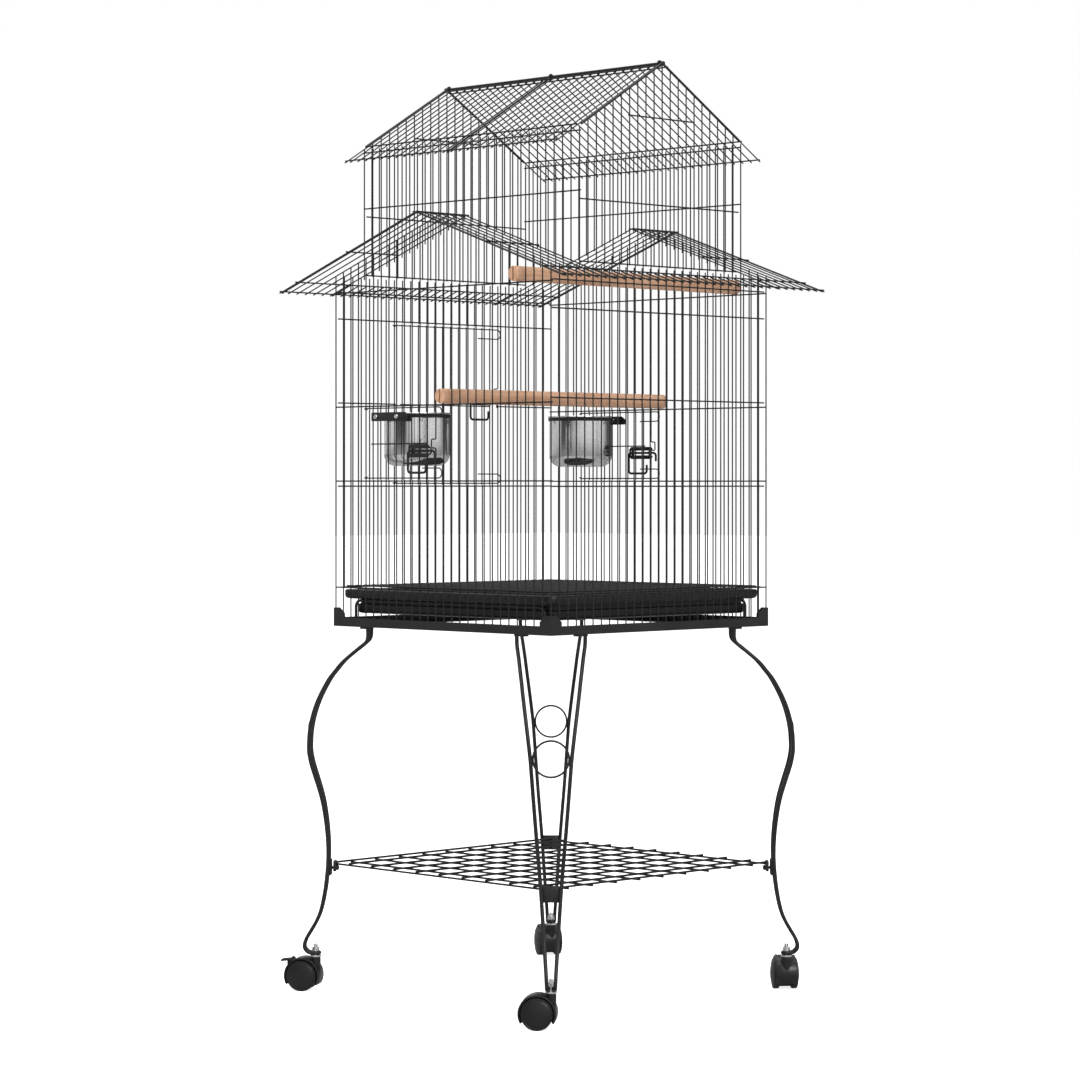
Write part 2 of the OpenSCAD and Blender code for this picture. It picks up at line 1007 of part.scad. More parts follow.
module shelf() {
  r = 1.5;
  t = 2.6;
  over = 2.4;
  lines = [-half, -180, -135, -90, -45, 0, 45, 90, 135, 180, half];
  color(iron)
    union() {
      for (y = lines)
        translate([-half - over, y, shelf_z])
          rotate([0, 90, 0])
            cylinder(r = r, h = 2 * (half + over));
      for (x = lines)
        translate([x - t / 2, -half - over, shelf_z - r + weld - t])
          cube([t, 2 * (half + over), t]);
      for (c = corners)
        rotate([0, 0, atan2(c[1], c[0])])
          difference() {
            translate([lug_out[0], -bracket_w / 2, lug_z[0]])
              cube([lug_out[1] - lug_out[0], bracket_w, lug_z[1] - lug_z[0]]);
            translate([lug_out[0] - 1, 0, shelf_bolt_z])
              rotate([0, 90, 0])
                cylinder(r = bolt_r + fit, h = 6);
          }
    }
}

// ---- casters ----

module at_caster(k) {
  place = stem_reach / sqrt(2);
  translate([corners[k][0] * place, corners[k][1] * place, 0])
    rotate([0, 0, trails[k] + 180])
      children();
}

// A disc across the wheels, from y0 to y1, about the wheel axis
module disc(r, y0, y1, sides = 48) {
  translate([-trail, y1, wheel_r])
    rotate([90, 0, 0])
      cylinder(r = r, h = y1 - y0, $fn = sides);
}

module caster_stem(k) {
  low = 24;
  nut_z = 55.3;
  nut_h = 3.4;
  stud_top = 64.5;
  color(steel)
    at_caster(k)
      union() {
        translate([0, 0, low])
          cylinder(r = stem_r, h = nut_z + 1 - low);
        translate([0, 0, boss_z + 0.3])
          cylinder(r = stem_r + 5, h = 2.8);
        translate([0, 0, nut_z])
          cylinder(r = 5, h = nut_h, $fn = 6);
        translate([0, 0, nut_z + nut_h - 1])
          cylinder(r = 3.1, h = stud_top - nut_z - nut_h + 1);
      }
}

module caster_hood(k, braked) {
  inner = wheel_r + hood_gap;
  outer = inner + hood_t;
  color(plastic)
    at_caster(k)
      difference() {
        union() {
          translate([-trail, -spine, wheel_r])
            cube([trail + 4, 2 * spine, 12]);
          difference() {
            disc(outer, -hood_w, hood_w);
            disc(inner, -hood_w - 1, -spine);
            disc(inner, spine, hood_w + 1);
            translate([-trail - outer - 1, -hood_w - 1, wheel_r - outer - 1])
              cube([2 * outer + 2, 2 * hood_w + 2, hood_low - wheel_r + outer + 1]);
          }
          translate([0, 0, 38])
            cylinder(r = boss_r, h = boss_z - 38);
          if (braked)
            for (y = [lever_ear, -lever_ear - 3])
              translate([lever_pin[0], y + 3, lever_pin[1]])
                rotate([90, 0, 0])
                  cylinder(r = 3.4, h = 3);
        }
        translate([0, 0, 22])
          cylinder(r = stem_r + run, h = 40);
        disc(axle_r + hair, -spine - 1, spine + 1, 32);
        if (braked)
          lever_slot();
      }
}

module lever_slot() {
  translate([lever_pin[0] - 14, -lever_ear, lever_pin[1] - 4])
    cube([18, 2 * lever_ear, 12]);
  translate([lever_pin[0], lever_ear + 2.3, lever_pin[1]])
    rotate([90, 0, 0])
      cylinder(r = 1.3 + hair, h = 2 * lever_ear + 4.6);
}

module brake_lever(k) {
  color(plastic)
    at_caster(k)
      translate([lever_pin[0], 0, lever_pin[1]])
        union() {
          translate([0, 7, 0])
            rotate([90, 0, 0])
              cylinder(r = 2.8, h = 14);
          translate([0, lever_ear + 1.6, 0])
            rotate([90, 0, 0])
              cylinder(r = 1.3, h = 2 * lever_ear + 3.2);
          rotate([0, -lever_tilt, 0])
            translate([-lever_pad[0], -lever_pad[1] / 2, -0.4])
              cube(lever_pad);
        }
}

module caster_axle(k) {
  color(steel)
    at_caster(k)
      disc(axle_r, -spine - hair - wheel_w, spine + hair + wheel_w, 32);
}

module caster_wheel(k, side) {
  y0 = spine + 0.4;
  color(plastic)
    at_caster(k)
      mirror([0, side, 0])
        difference() {
          union() {
            disc(wheel_r, y0, y0 + wheel_w);
            translate([-trail, y0 + wheel_w + dome, wheel_r])
              rotate([90, 0, 0])
                cylinder(r1 = 8, r2 = wheel_r - 2, h = dome, $fn = 48);
          }
          disc(axle_r + hair, y0 - 1, y0 + wheel_w + 1, 32);
        }
}

stand_ring();
leg(0);  // leg_front_left
leg(1);  // leg_front_right
leg(2);  // leg_back_left
leg(3);  // leg_back_right
shelf();
frame_bolts();
wall_front();
wall_back();
wall_left();
wall_right();
tower_front();
tower_back();
tower_left();
tower_right();
lower_roof_front();
lower_roof_back();
upper_roof();
roof_flap();
main_door();
main_latch_plate();
main_latch_rod();
feeder_door_left();
feeder_latch_plate_left();
feeder_latch_rod_left();
feeder_door_right();
feeder_latch_plate_right();
feeder_latch_rod_right();
cup_holder_left();
holder_screws_left();
cup_left();
cup_holder_right();
holder_screws_right();
cup_right();
perch_low();
perch_high();
floor_grille();
tray();
caster_stem(0);  // caster_stem_front_left
caster_hood(0, false);  // caster_hood_front_left
caster_axle(0);  // caster_axle_front_left
caster_wheel(0, 0);  // caster_wheel_a_front_left
caster_wheel(0, 1);  // caster_wheel_b_front_left
caster_stem(1);  // caster_stem_front_right
caster_hood(1, true);  // caster_hood_front_right
caster_axle(1);  // caster_axle_front_right
caster_wheel(1, 0);  // caster_wheel_a_front_right
caster_wheel(1, 1);  // caster_wheel_b_front_right
caster_stem(2);  // caster_stem_back_left
caster_hood(2, true);  // caster_hood_back_left
caster_axle(2);  // caster_axle_back_left
caster_wheel(2, 0);  // caster_wheel_a_back_left
caster_wheel(2, 1);  // caster_wheel_b_back_left
caster_stem(3);  // caster_stem_back_right
caster_hood(3, false);  // caster_hood_back_right
caster_axle(3);  // caster_axle_back_right
caster_wheel(3, 0);  // caster_wheel_a_back_right
caster_wheel(3, 1);  // caster_wheel_b_back_right
brake_lever(1);  // brake_lever_front_right
brake_lever(2);  // brake_lever_back_left
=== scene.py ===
"""The looks of a wire bird cage on a rolling stand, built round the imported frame. Sizes are in mm."""

import math

import bmesh
import bpy
from mathutils import Matrix, Vector


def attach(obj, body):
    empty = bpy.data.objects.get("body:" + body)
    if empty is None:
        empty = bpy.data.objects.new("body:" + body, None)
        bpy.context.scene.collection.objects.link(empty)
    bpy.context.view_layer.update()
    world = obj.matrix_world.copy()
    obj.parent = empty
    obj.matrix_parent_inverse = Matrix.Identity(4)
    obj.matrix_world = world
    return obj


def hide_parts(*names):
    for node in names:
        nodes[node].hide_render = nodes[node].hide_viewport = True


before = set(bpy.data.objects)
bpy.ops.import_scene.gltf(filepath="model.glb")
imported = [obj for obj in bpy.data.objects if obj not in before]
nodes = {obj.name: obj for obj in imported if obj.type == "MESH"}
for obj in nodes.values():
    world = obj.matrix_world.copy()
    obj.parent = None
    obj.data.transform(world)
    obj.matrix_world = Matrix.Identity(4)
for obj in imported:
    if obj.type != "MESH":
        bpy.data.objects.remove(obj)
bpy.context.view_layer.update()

# ---- sizes: places are the CAD source's; wires, door frames and rafters are drawn thinner than there ----

MM = 0.001
HALF = 210.0  # half the cage's side
GAPS = 27
PITCH = 2 * HALF / GAPS
WIRE = 0.9  # radius of the upright wires
BAR = 1.0  # radius of the cross bars
SINK = 0.3  # how deep a bar is welded into the wires
PAST_BAR = 1.6  # how far a cut wire runs on past a bar
BAR_GAP = 2.6  # from the middle of a corner wire to the end of a bar between corners
SIDE_BARS = [556.5, 703, 805, 962]
END_BARS = [556.5, 696, 811, 927, 964]
SKIRT = 504.6
LOW_RIDGE, LOW_PITCH, LOW_REACH, LOW_END = 1060.0, math.radians(19.2), 275.0, 254.0
TOP_RIDGE, TOP_PITCH, TOP_REACH = 1261.0, math.radians(30.9), 195.0
TOWER = 157.5
TOWER_GAPS = 20
TOWER_PITCH = 2 * TOWER / TOWER_GAPS
MAIN_JAMBS = (7, 20)  # the wires a door hangs on and closes against, by number
FEEDER_JAMBS = (4, 13)
SIDE_LATCH, END_LATCH = 743.5, 821.2
STEM_REACH = 325.0
TRAIL = 17.0
WHEEL_R = 21.0
# sign of x, sign of y and trail angle of each caster
CORNERS = {"front_left": (-1, -1, 239), "front_right": (1, -1, 304),
           "back_left": (-1, 1, 229), "back_right": (1, 1, 309)}
BRAKED = ("front_right", "back_left")


def wire_x(i):
    return -HALF + i * PITCH


def low_z(y):
    return LOW_RIDGE - abs(y) * math.tan(LOW_PITCH)


def top_z(x):
    return TOP_RIDGE - abs(x) * math.tan(TOP_PITCH)


END_TOP = low_z(HALF) - 1.5

# ---- places: a panel is drawn in XZ with its inner side towards +Y ----

HERE = Matrix.Identity(4)
FRONT = Matrix.Translation((0, -HALF, 0))
BACK = Matrix.Diagonal((1, -1, 1, 1)) @ FRONT
RIGHT = Matrix.Rotation(math.pi / 2, 4, "Z") @ FRONT
LEFT = Matrix.Diagonal((-1, 1, 1, 1)) @ RIGHT
MAIN = Matrix.Diagonal((-1, 1, 1, 1)) @ FRONT


def turn(axis, degrees):
    return Matrix.Rotation(math.radians(degrees), 4, axis)


def move(x, y, z):
    return Matrix.Translation((x, y, z))


def outward(cx, cy):
    """A turn that points +X at a corner of the cage."""
    return turn("Z", math.degrees(math.atan2(cy, cx)))


# ---- mesh building ----


def bend(points, radius, steps=5):
    """The points of a polyline with its corners rounded."""
    pts = [Vector(p) for p in points]
    out = [pts[0]]
    for a, p, b in zip(pts, pts[1:], pts[2:]):
        u, v = (a - p).normalized(), (b - p).normalized()
        angle = u.angle(v)
        if angle > math.pi - 0.01:
            out.append(p)
            continue
        cut = min(radius / math.tan(angle / 2), (a - p).length * 0.49, (b - p).length * 0.49)
        r = cut * math.tan(angle / 2)
        centre = p + (u + v).normalized() * (r / math.sin(angle / 2))
        start, end = p + u * cut - centre, p + v * cut - centre
        sweep = start.angle(end)
        for k in range(steps + 1):
            t = k / steps
            if sweep > 1e-4:
                w = (start * math.sin((1 - t) * sweep) + end * math.sin(t * sweep)) / math.sin(sweep)
            else:
                w = start
            out.append(centre + w)
    return out + [pts[-1]]


def arc(cx, cy, r, a0, a1, n):
    """Points on a circle in the plane, with angles in degrees."""
    step = math.radians(a1 - a0) / n
    start = math.radians(a0)
    return [(cx + r * math.cos(start + k * step), cy + r * math.sin(start + k * step))
            for k in range(n + 1)]


class Shape:
    """Collects closed solids, in mm, and makes one object of them."""

    def __init__(self, at=HERE):
        self.verts, self.faces, self.at = [], [], at

    def add(self, points, faces, at=None):
        base = len(self.verts)
        m = self.at if at is None else self.at @ at
        self.verts += [m @ Vector(p) for p in points]
        self.faces += [[base + i for i in f] for f in faces]

    def skin(self, points, per, at=None, loop=False):
        """A solid over rings of points, per in each. It closes on itself, or has a face at each end."""
        count = len(points) // per
        faces = []
        for i in range(count if loop else count - 1):
            j = (i + 1) % count
            for k in range(per):
                m = (k + 1) % per
                faces.append([i * per + k, i * per + m, j * per + m, j * per + k])
        if not loop:
            faces += [list(range(per))[::-1], list(range((count - 1) * per, count * per))]
        self.add(points, faces, at)

    def tube(self, path, r, sides=10, loop=False, at=None):
        """A round wire along a path. Its cut ends have a small chamfer."""
        pts = [Vector(p) for p in path]
        radii = [r] * len(pts)
        chamfer, end_r = 0.3 * r, 0.68 * r
        if not loop:
            first, last = (pts[1] - pts[0]).normalized(), (pts[-1] - pts[-2]).normalized()
            pts = [pts[0], pts[0] + first * chamfer] + pts[1:-1] + [pts[-1] - last * chamfer, pts[-1]]
            radii = [end_r] + [r] * (len(pts) - 2) + [end_r]
        n = len(pts)
        heads = []
        for i in range(n):
            before = pts[i - 1] if loop or i else pts[0]
            after = pts[(i + 1) % n] if loop or i < n - 1 else pts[-1]
            heads.append((after - before).normalized())
        up = Vector((0, 0, 1)) if abs(heads[0].z) < 0.9 else Vector((0, 1, 0))
        side = heads[0].cross(up).normalized()
        rings = []
        for p, t, q in zip(pts, heads, radii):
            side = (side - t * side.dot(t)).normalized()
            other = t.cross(side)
            rings += [p + q * (side * math.cos(a) + other * math.sin(a))
                      for a in (2 * math.pi * k / sides for k in range(sides))]
        self.skin(rings, sides, at, loop)

    def line(self, a, b, r=WIRE, sides=10):
        self.tube([a, b], r, sides)

    def turned(self, profile, at=None, sides=48, sweep=360):
        """A profile of (radius, height) points turned about Z. It closes on itself or on the axis."""
        full = sweep == 360
        count = sides if full else sides + 1
        points, rings = [], []
        for q, z in profile:
            first = len(points)
            if q == 0:
                points.append((0, 0, z))
                rings.append([first] * (count + 1))
                continue
            angles = (math.radians(sweep) * k / sides for k in range(count))
            points += [(q * math.cos(a), q * math.sin(a), z) for a in angles]
            rings.append([first + k for k in range(count)] + [first])
        pairs = list(zip(rings, rings[1:]))
        if profile[0][0] or profile[-1][0]:
            pairs.append((rings[-1], rings[0]))
        faces = []
        for a, b in pairs:
            for k in range(sides):
                corners = [a[k], b[k], b[k + 1], a[k + 1]]
                faces.append(list(dict.fromkeys(corners)))
        if not full:
            faces += [[r[0] for r in rings], [r[sides] for r in rings][::-1]]
        self.add(points, faces, at)

    def plate(self, outline, depth, at=None, bevel=0.3):
        """An outline in XY made a solid from z = 0 to depth, with rounded edges."""
        bm = bmesh.new()
        low = [bm.verts.new((x, y, 0)) for x, y in outline]
        high = [bm.verts.new((x, y, depth)) for x, y in outline]
        n = len(outline)
        bm.faces.new(low[::-1])
        bm.faces.new(high)
        for i in range(n):
            bm.faces.new([low[i], low[(i + 1) % n], high[(i + 1) % n], high[i]])
        bmesh.ops.recalc_face_normals(bm, faces=bm.faces)
        if bevel:
            corner = 0.6  # radians
            edges = [e for e in bm.edges if e.calc_face_angle(0) > corner]
            bmesh.ops.bevel(bm, geom=edges, offset=bevel, segments=2, profile=0.5,
                            affect="EDGES", clamp_overlap=True)
        self.take(bm, at)

    def take(self, bm, at=None):
        bm.verts.index_update()
        self.add([v.co.copy() for v in bm.verts], [[v.index for v in f.verts] for f in bm.faces], at)
        bm.free()

    def box(self, size, at, bevel=0.3):
        x, y, z = size
        self.plate([(0, 0), (x, 0), (x, y), (0, y)], z, at, bevel)

    def make(self, name, body, material, replaces=(), smooth=35):
        bm = bmesh.new()
        verts = [bm.verts.new(v * MM) for v in self.verts]
        for f in self.faces:
            bm.faces.new([verts[i] for i in f])
        bmesh.ops.recalc_face_normals(bm, faces=bm.faces)
        mesh = bpy.data.meshes.new(name)
        bm.to_mesh(mesh)
        bm.free()
        mesh.materials.append(material)
        mesh.shade_smooth()
        mesh.set_sharp_from_angle(angle=math.radians(smooth))
        piece = bpy.data.objects.new(name, mesh)
        bpy.context.scene.collection.objects.link(piece)
        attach(piece, body)
        if replaces:
            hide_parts(*replaces)
        return piece


# ---- materials ----


class Look:
    """A material under construction: a principled shader and the nodes that feed it."""

    def __init__(self, name, **values):
        self.material = bpy.data.materials.new(name)
        self.material.use_nodes = True
        self.tree = self.material.node_tree
        self.shader = self.tree.nodes["Principled BSDF"]
        for key, value in values.items():
            self.shader.inputs[key.replace("_", " ")].default_value = value
        self.coords = self.node("ShaderNodeTexCoord").outputs["Object"]
        self.normal = None

    def node(self, kind, **inputs):
        made = self.tree.nodes.new(kind)
        for key, value in inputs.items():
            made.inputs[key].default_value = value
        return made

    def link(self, a, b):
        self.tree.links.new(a, b)

    def stretched(self, scale):
        mapping = self.node("ShaderNodeMapping", Scale=scale)
        self.link(self.coords, mapping.inputs["Vector"])
        return mapping.outputs["Vector"]

    def noise(self, scale, detail=3.0, stretch=None, distortion=0.0):
        made = self.node("ShaderNodeTexNoise", Scale=scale, Detail=detail, Distortion=distortion)
        self.link(self.stretched(stretch) if stretch else self.coords, made.inputs["Vector"])
        return made.outputs["Fac"]

    def ramp(self, value, stops):
        made = self.node("ShaderNodeValToRGB")
        ramp = made.color_ramp
        while len(ramp.elements) < len(stops):
            ramp.elements.new(0.5)
        for element, (at, colour) in zip(ramp.elements, stops):
            element.position = at
            element.color = (*colour, 1) if hasattr(colour, "__len__") else (colour,) * 3 + (1,)
        self.link(value, made.inputs["Fac"])
        return made.outputs["Color"]

    def mix(self, factor, a, b, blend="MIX"):
        made = self.tree.nodes.new("ShaderNodeMix")
        made.data_type = "RGBA"
        made.blend_type = blend
        for socket, value in ((made.inputs["Factor"], factor), (made.inputs[6], a), (made.inputs[7], b)):
            if hasattr(value, "is_output"):
                self.link(value, socket)
            else:
                socket.default_value = value
        return made.outputs[2]

    def bump(self, height, strength, distance):
        made = self.node("ShaderNodeBump", Strength=strength, Distance=distance)
        self.link(height, made.inputs["Height"])
        if self.normal:
            self.link(self.normal, made.inputs["Normal"])
        self.normal = made.outputs["Normal"]
        self.link(self.normal, self.shader.inputs["Normal"])

    def to(self, socket, value):
        self.link(value, self.shader.inputs[socket])


def enamel():
    look = Look("black_enamel", IOR=1.5, Specular_IOR_Level=0.3)
    cloud = look.noise(14.0, 4.0)
    look.to("Base Color", look.ramp(cloud, [(0.35, (0.009, 0.009, 0.0094)), (0.65, (0.0145, 0.014, 0.0145))]))
    look.to("Roughness", look.ramp(look.noise(90.0, 3.0), [(0.3, 0.36), (0.7, 0.5)]))
    look.bump(look.noise(1400.0, 2.0), 0.18, 0.00012)
    return look.material


def plastic(name, dark, pale, rough, grain):
    look = Look(name, IOR=1.47, Specular_IOR_Level=0.35)
    look.to("Base Color", look.ramp(look.noise(30.0, 4.0), [(0.3, dark), (0.7, pale)]))
    look.to("Roughness", look.ramp(look.noise(160.0, 3.0), [(0.3, rough - 0.05), (0.7, rough + 0.07)]))
    look.bump(look.noise(2600.0, 2.0), grain, 0.00008)
    look.bump(look.noise(60.0, 2.0), 0.05, 0.0006)
    return look.material


def polished():
    look = Look("polished_steel", Metallic=1.0)
    cloud = look.noise(9.0, 3.0)
    look.to("Base Color", look.ramp(cloud, [(0.3, (0.74, 0.74, 0.745)), (0.7, (0.83, 0.83, 0.83))]))
    lines = look.noise(1.0, 4.0, stretch=(14.0, 14.0, 2600.0))
    look.to("Roughness", look.ramp(lines, [(0.3, 0.1), (0.7, 0.15)]))
    return look.material


def plated():
    look = Look("zinc_plate", Metallic=1.0)
    cloud = look.noise(260.0, 4.0)
    look.to("Base Color", look.ramp(cloud, [(0.35, (0.55, 0.56, 0.57)), (0.65, (0.8, 0.8, 0.8))]))
    look.to("Roughness", look.ramp(look.noise(420.0, 3.0), [(0.3, 0.2), (0.7, 0.34)]))
    look.bump(look.noise(1900.0, 2.0), 0.1, 0.00005)
    return look.material


def beech():
    look = Look("beech", IOR=1.45)
    figure = look.noise(1.0, 5.0, stretch=(9.0, 120.0, 120.0), distortion=0.35)
    colour = look.ramp(figure, [(0.28, (0.40, 0.215, 0.125)), (0.5, (0.50, 0.285, 0.175)),
                                (0.72, (0.58, 0.345, 0.22))])
    pores = look.noise(1.0, 2.0, stretch=(160.0, 1500.0, 1500.0))
    dark = look.ramp(pores, [(0.3, 0.72), (0.46, 1.0)])
    colour = look.mix(1.0, colour, dark, "MULTIPLY")
    cloud = look.ramp(look.noise(11.0, 3.0), [(0.3, 0.9), (0.7, 1.06)])
    look.to("Base Color", look.mix(1.0, colour, cloud, "MULTIPLY"))
    look.to("Roughness", look.ramp(figure, [(0.3, 0.6), (0.7, 0.5)]))
    look.bump(pores, 0.14, 0.00012)
    look.bump(figure, 0.08, 0.0003)
    return look.material


IRON = enamel()
TRAY = plastic("tray_plastic", (0.006, 0.006, 0.0063), (0.01, 0.01, 0.0103), 0.34, 0.12)
NYLON = plastic("caster_nylon", (0.008, 0.0078, 0.008), (0.014, 0.0135, 0.014), 0.28, 0.15)
TREAD = plastic("wheel_nylon", (0.007, 0.0068, 0.007), (0.012, 0.0116, 0.012), 0.36, 0.14)
STEEL = polished()
ZINC = plated()
WOOD = beech()

# ---- lower walls ----

JOG_LOW, JOG_HIGH, JOG_OUT, JOG_BEND = 3.6, 15.5, -8, 2.2  # heights are above the latch
TIE_REACH, TIE_IN, TIE_FOOT, TIE_Z, TIE_BEND, TIE_R = HALF - 26, 14.0, 504.4, 538.7, 9, 2.0


def strike_wire(shape, x, z0, z1, latch_z):
    """The jamb wire beside a latch, which jogs outward to clear the hook."""
    low, high = latch_z + JOG_LOW, latch_z + JOG_HIGH
    path = [(x, 0, z0), (x, 0, low), (x, JOG_OUT, low), (x, JOG_OUT, high), (x, 0, high), (x, 0, z1)]
    shape.tube(bend(path, JOG_BEND), WIRE)


def bars(shape, x0, x1, heights, side=1, r=BAR):
    """Cross bars, welded to the inner side of a panel's wires or, with side -1, to the outer side."""
    y = side * (WIRE + r - SINK)
    for z in heights:
        shape.line((x0, y, z), (x1, y, z), r)


def side_wall(at, name, node):
    """A wall with a gable top, a feeder doorway and the rod that ties it to the stand."""
    s = Shape(at)
    for i in range(GAPS + 1):
        x, top = wire_x(i), low_z(wire_x(i)) - 1.4
        if i == FEEDER_JAMBS[1]:
            strike_wire(s, x, SKIRT, top, SIDE_LATCH)
        elif FEEDER_JAMBS[0] < i < FEEDER_JAMBS[1]:
            s.line((x, 0, SKIRT), (x, 0, SIDE_BARS[1] + PAST_BAR))
            s.line((x, 0, SIDE_BARS[2] - PAST_BAR), (x, 0, top))
        else:
            s.line((x, 0, SKIRT), (x, 0, top))
    bars(s, -HALF - 1.5, HALF + 1.5, SIDE_BARS)
    tie = [(-TIE_REACH, TIE_IN, TIE_FOOT), (-TIE_REACH, TIE_IN, TIE_Z), (TIE_REACH, TIE_IN, TIE_Z),
           (TIE_REACH, TIE_IN, TIE_FOOT)]
    s.tube(bend(tie, TIE_BEND, 8), TIE_R, 12)
    return s.make(name, "cage", IRON, [node])


def end_wall(at, name, node, door):
    """A wall with a level top. With a door, its middle bar stops at the doorway."""
    s = Shape(at)
    edge = HALF - BAR_GAP
    foot = END_BARS[0] - PAST_BAR if door else SKIRT
    near, far = MAIN_JAMBS
    for i in range(1, GAPS):
        x = wire_x(i)
        if door and i == near:
            strike_wire(s, x, foot, END_TOP, END_LATCH)
        elif door and near < i < far:
            s.line((x, 0, foot), (x, 0, END_BARS[1] + PAST_BAR))
            s.line((x, 0, END_BARS[3] - PAST_BAR), (x, 0, END_TOP))
        else:
            s.line((x, 0, foot), (x, 0, END_TOP))
    middle = END_BARS[2]
    bars(s, -edge, edge, [z for z in END_BARS if z != middle])
    if door:
        bars(s, -edge, wire_x(near) + WIRE, [middle])
        bars(s, wire_x(far) - WIRE, edge, [middle])
    else:
        bars(s, -edge, edge, [middle])
    return s.make(name, "cage", IRON, [node])


side_wall(RIGHT, "right_wall_wires", "wall_right")
side_wall(LEFT, "left_wall_wires", "wall_left")
end_wall(FRONT, "front_wall_wires", "wall_front", True)
end_wall(BACK, "back_wall_wires", "wall_back", False)

# ---- tower ----

TOWER_SIDE_BARS = (1082, 1160)
TOWER_END_BARS = (END_TOP + 4, 1071)
GABLE_BAR, GABLE_BAR_GAPS = 1187, 4

for at, tag in ((RIGHT, "right"), (LEFT, "left")):
    s = Shape(at @ move(0, HALF - TOWER, 0))
    for i in range(GAPS + 1):
        x = wire_x(i)
        s.line((x, 0, low_z(x) - 4), (x, 0, top_z(TOWER) - 2))
    bars(s, -HALF - 1, HALF + 1, TOWER_SIDE_BARS)
    s.make(f"{tag}_tower_wires", "cage", IRON, [f"tower_{tag}"])

for at, tag in ((FRONT, "front"), (BACK, "back")):
    s = Shape(at)
    edge = TOWER - BAR_GAP
    for i in range(1, TOWER_GAPS):
        x = -TOWER + i * TOWER_PITCH
        s.line((x, 0, END_TOP + 2.5), (x, 0, top_z(x) - 1.2))
    bars(s, -edge, edge, TOWER_END_BARS)
    bars(s, -GABLE_BAR_GAPS * TOWER_PITCH - 1, GABLE_BAR_GAPS * TOWER_PITCH + 1, (GABLE_BAR,))
    s.make(f"{tag}_tower_wires", "cage", IRON, [f"tower_{tag}"])

# ---- roofs: drawn flat, with wires along Z and bars on the outer side, -Y ----

STRIP = 242.0  # where the roof in front of the tower starts, from the ridge
LOW_SLOPE = move(0, 0, LOW_RIDGE) @ turn("X", -90 - math.degrees(LOW_PITCH))
SLANT = 1 / math.cos(LOW_PITCH)
WING_GAPS = 6
WING_BARS = (3, 137, STRIP, LOW_REACH)
PAST_EAVE = 3  # how far the wires run on past the last bar

for flip, tag in ((1, "back"), (-1, "front")):
    s = Shape(Matrix.Diagonal((1, flip, 1, 1)) @ LOW_SLOPE)
    start = TOWER + 4
    step = (LOW_END - start) / WING_GAPS
    for sign in (1, -1):
        for x in [start + k * step for k in range(WING_GAPS + 1)] + [LOW_END - 4]:
            s.line((sign * x, 0, 1.2 * SLANT), (sign * x, 0, (LOW_REACH + PAST_EAVE) * SLANT))
        for y in WING_BARS:
            a, b = sorted((sign * (TOWER + 2.1), sign * (LOW_END + 2)))
            bars(s, a, b, (y * SLANT,), -1)
    for i in range(TOWER_GAPS + 1):
        x = -TOWER + i * TOWER_PITCH
        s.line((x, 0, (STRIP - 2) * SLANT), (x, 0, (LOW_REACH + PAST_EAVE) * SLANT))
    bars(s, -TOWER - 2, TOWER + 2, [y * SLANT for y in (STRIP, LOW_REACH)], -1)
    s.make(f"{tag}_lower_roof_wires", "cage", IRON, [f"lower_roof_{tag}"])

TOP_SLOPE = move(0, 0, TOP_RIDGE) @ turn("Y", 90 + math.degrees(TOP_PITCH)) @ turn("Z", -90)
FAR = TOP_REACH / math.cos(TOP_PITCH)
EAVE = TOWER / math.cos(TOP_PITCH)
TOP_BARS = (11, EAVE, FAR)
RIDGE_R, GABLE_R, RAFTER_R, KNOB_R = 2.0, 1.7, 1.5, 2.9
GABLE = HALF + 0.2
MIRROR_X = Matrix.Diagonal((-1, 1, 1, 1))


def top_slope(shape, wires_from, edge_from, edge):
    """The wires and bars of one slope of the upper roof. Lengths run down from the ridge."""
    for i in range(1, GAPS):
        shape.line((wire_x(i), 0, wires_from), (wire_x(i), 0, FAR + PAST_EAVE))
    for y in (-edge, edge):
        shape.line((y, 0, edge_from), (y, 0, FAR + PAST_EAVE))
    bars(shape, -edge - 1, edge + 1, TOP_BARS, -1)


def gable_rods(shape):
    for y in (-GABLE, GABLE):
        shape.line((y, 0, 0.4), (y, 0, EAVE - 3), GABLE_R, 12)


s = Shape(TOP_SLOPE)
gable_rods(s)
s.at = MIRROR_X @ TOP_SLOPE
gable_rods(s)
top_slope(s, 3.5, EAVE - 5, GABLE)
s.at = HERE
s.line((0, -HALF - 2, TOP_RIDGE), (0, HALF + 2, TOP_RIDGE), RIDGE_R, 14)
for y in (-HALF - 1.6, HALF + 1.6):
    knob = [(KNOB_R * math.sin(a), -KNOB_R * math.cos(a)) for a in (math.pi * k / 12 for k in range(1, 12))]
    s.turned([(0, -KNOB_R)] + knob + [(0, KNOB_R)], move(0, y, TOP_RIDGE), 20)
s.make("fixed_roof_wires", "cage", IRON, ["upper_roof"])

FLAP_REACH = HALF - 4.6
FLAP_EYE, FLAP_EYE_WIRE = 3.45, 1.3
s = Shape(TOP_SLOPE)
top_slope(s, 9, FLAP_EYE, FLAP_REACH)
s.line((0, 0, FLAP_EYE), (0, 0, FAR + 2.4), RAFTER_R, 12)
for y in (-FLAP_REACH, 0, FLAP_REACH):
    eye = [(y, u, v) for u, v in arc(0, 0, FLAP_EYE, 0, 360, 20)[:-1]]
    s.tube(eye, FLAP_EYE_WIRE, 10, loop=True)
s.make("flap_wires", "roof_flap", IRON, ["roof_flap"])

# ---- doors ----

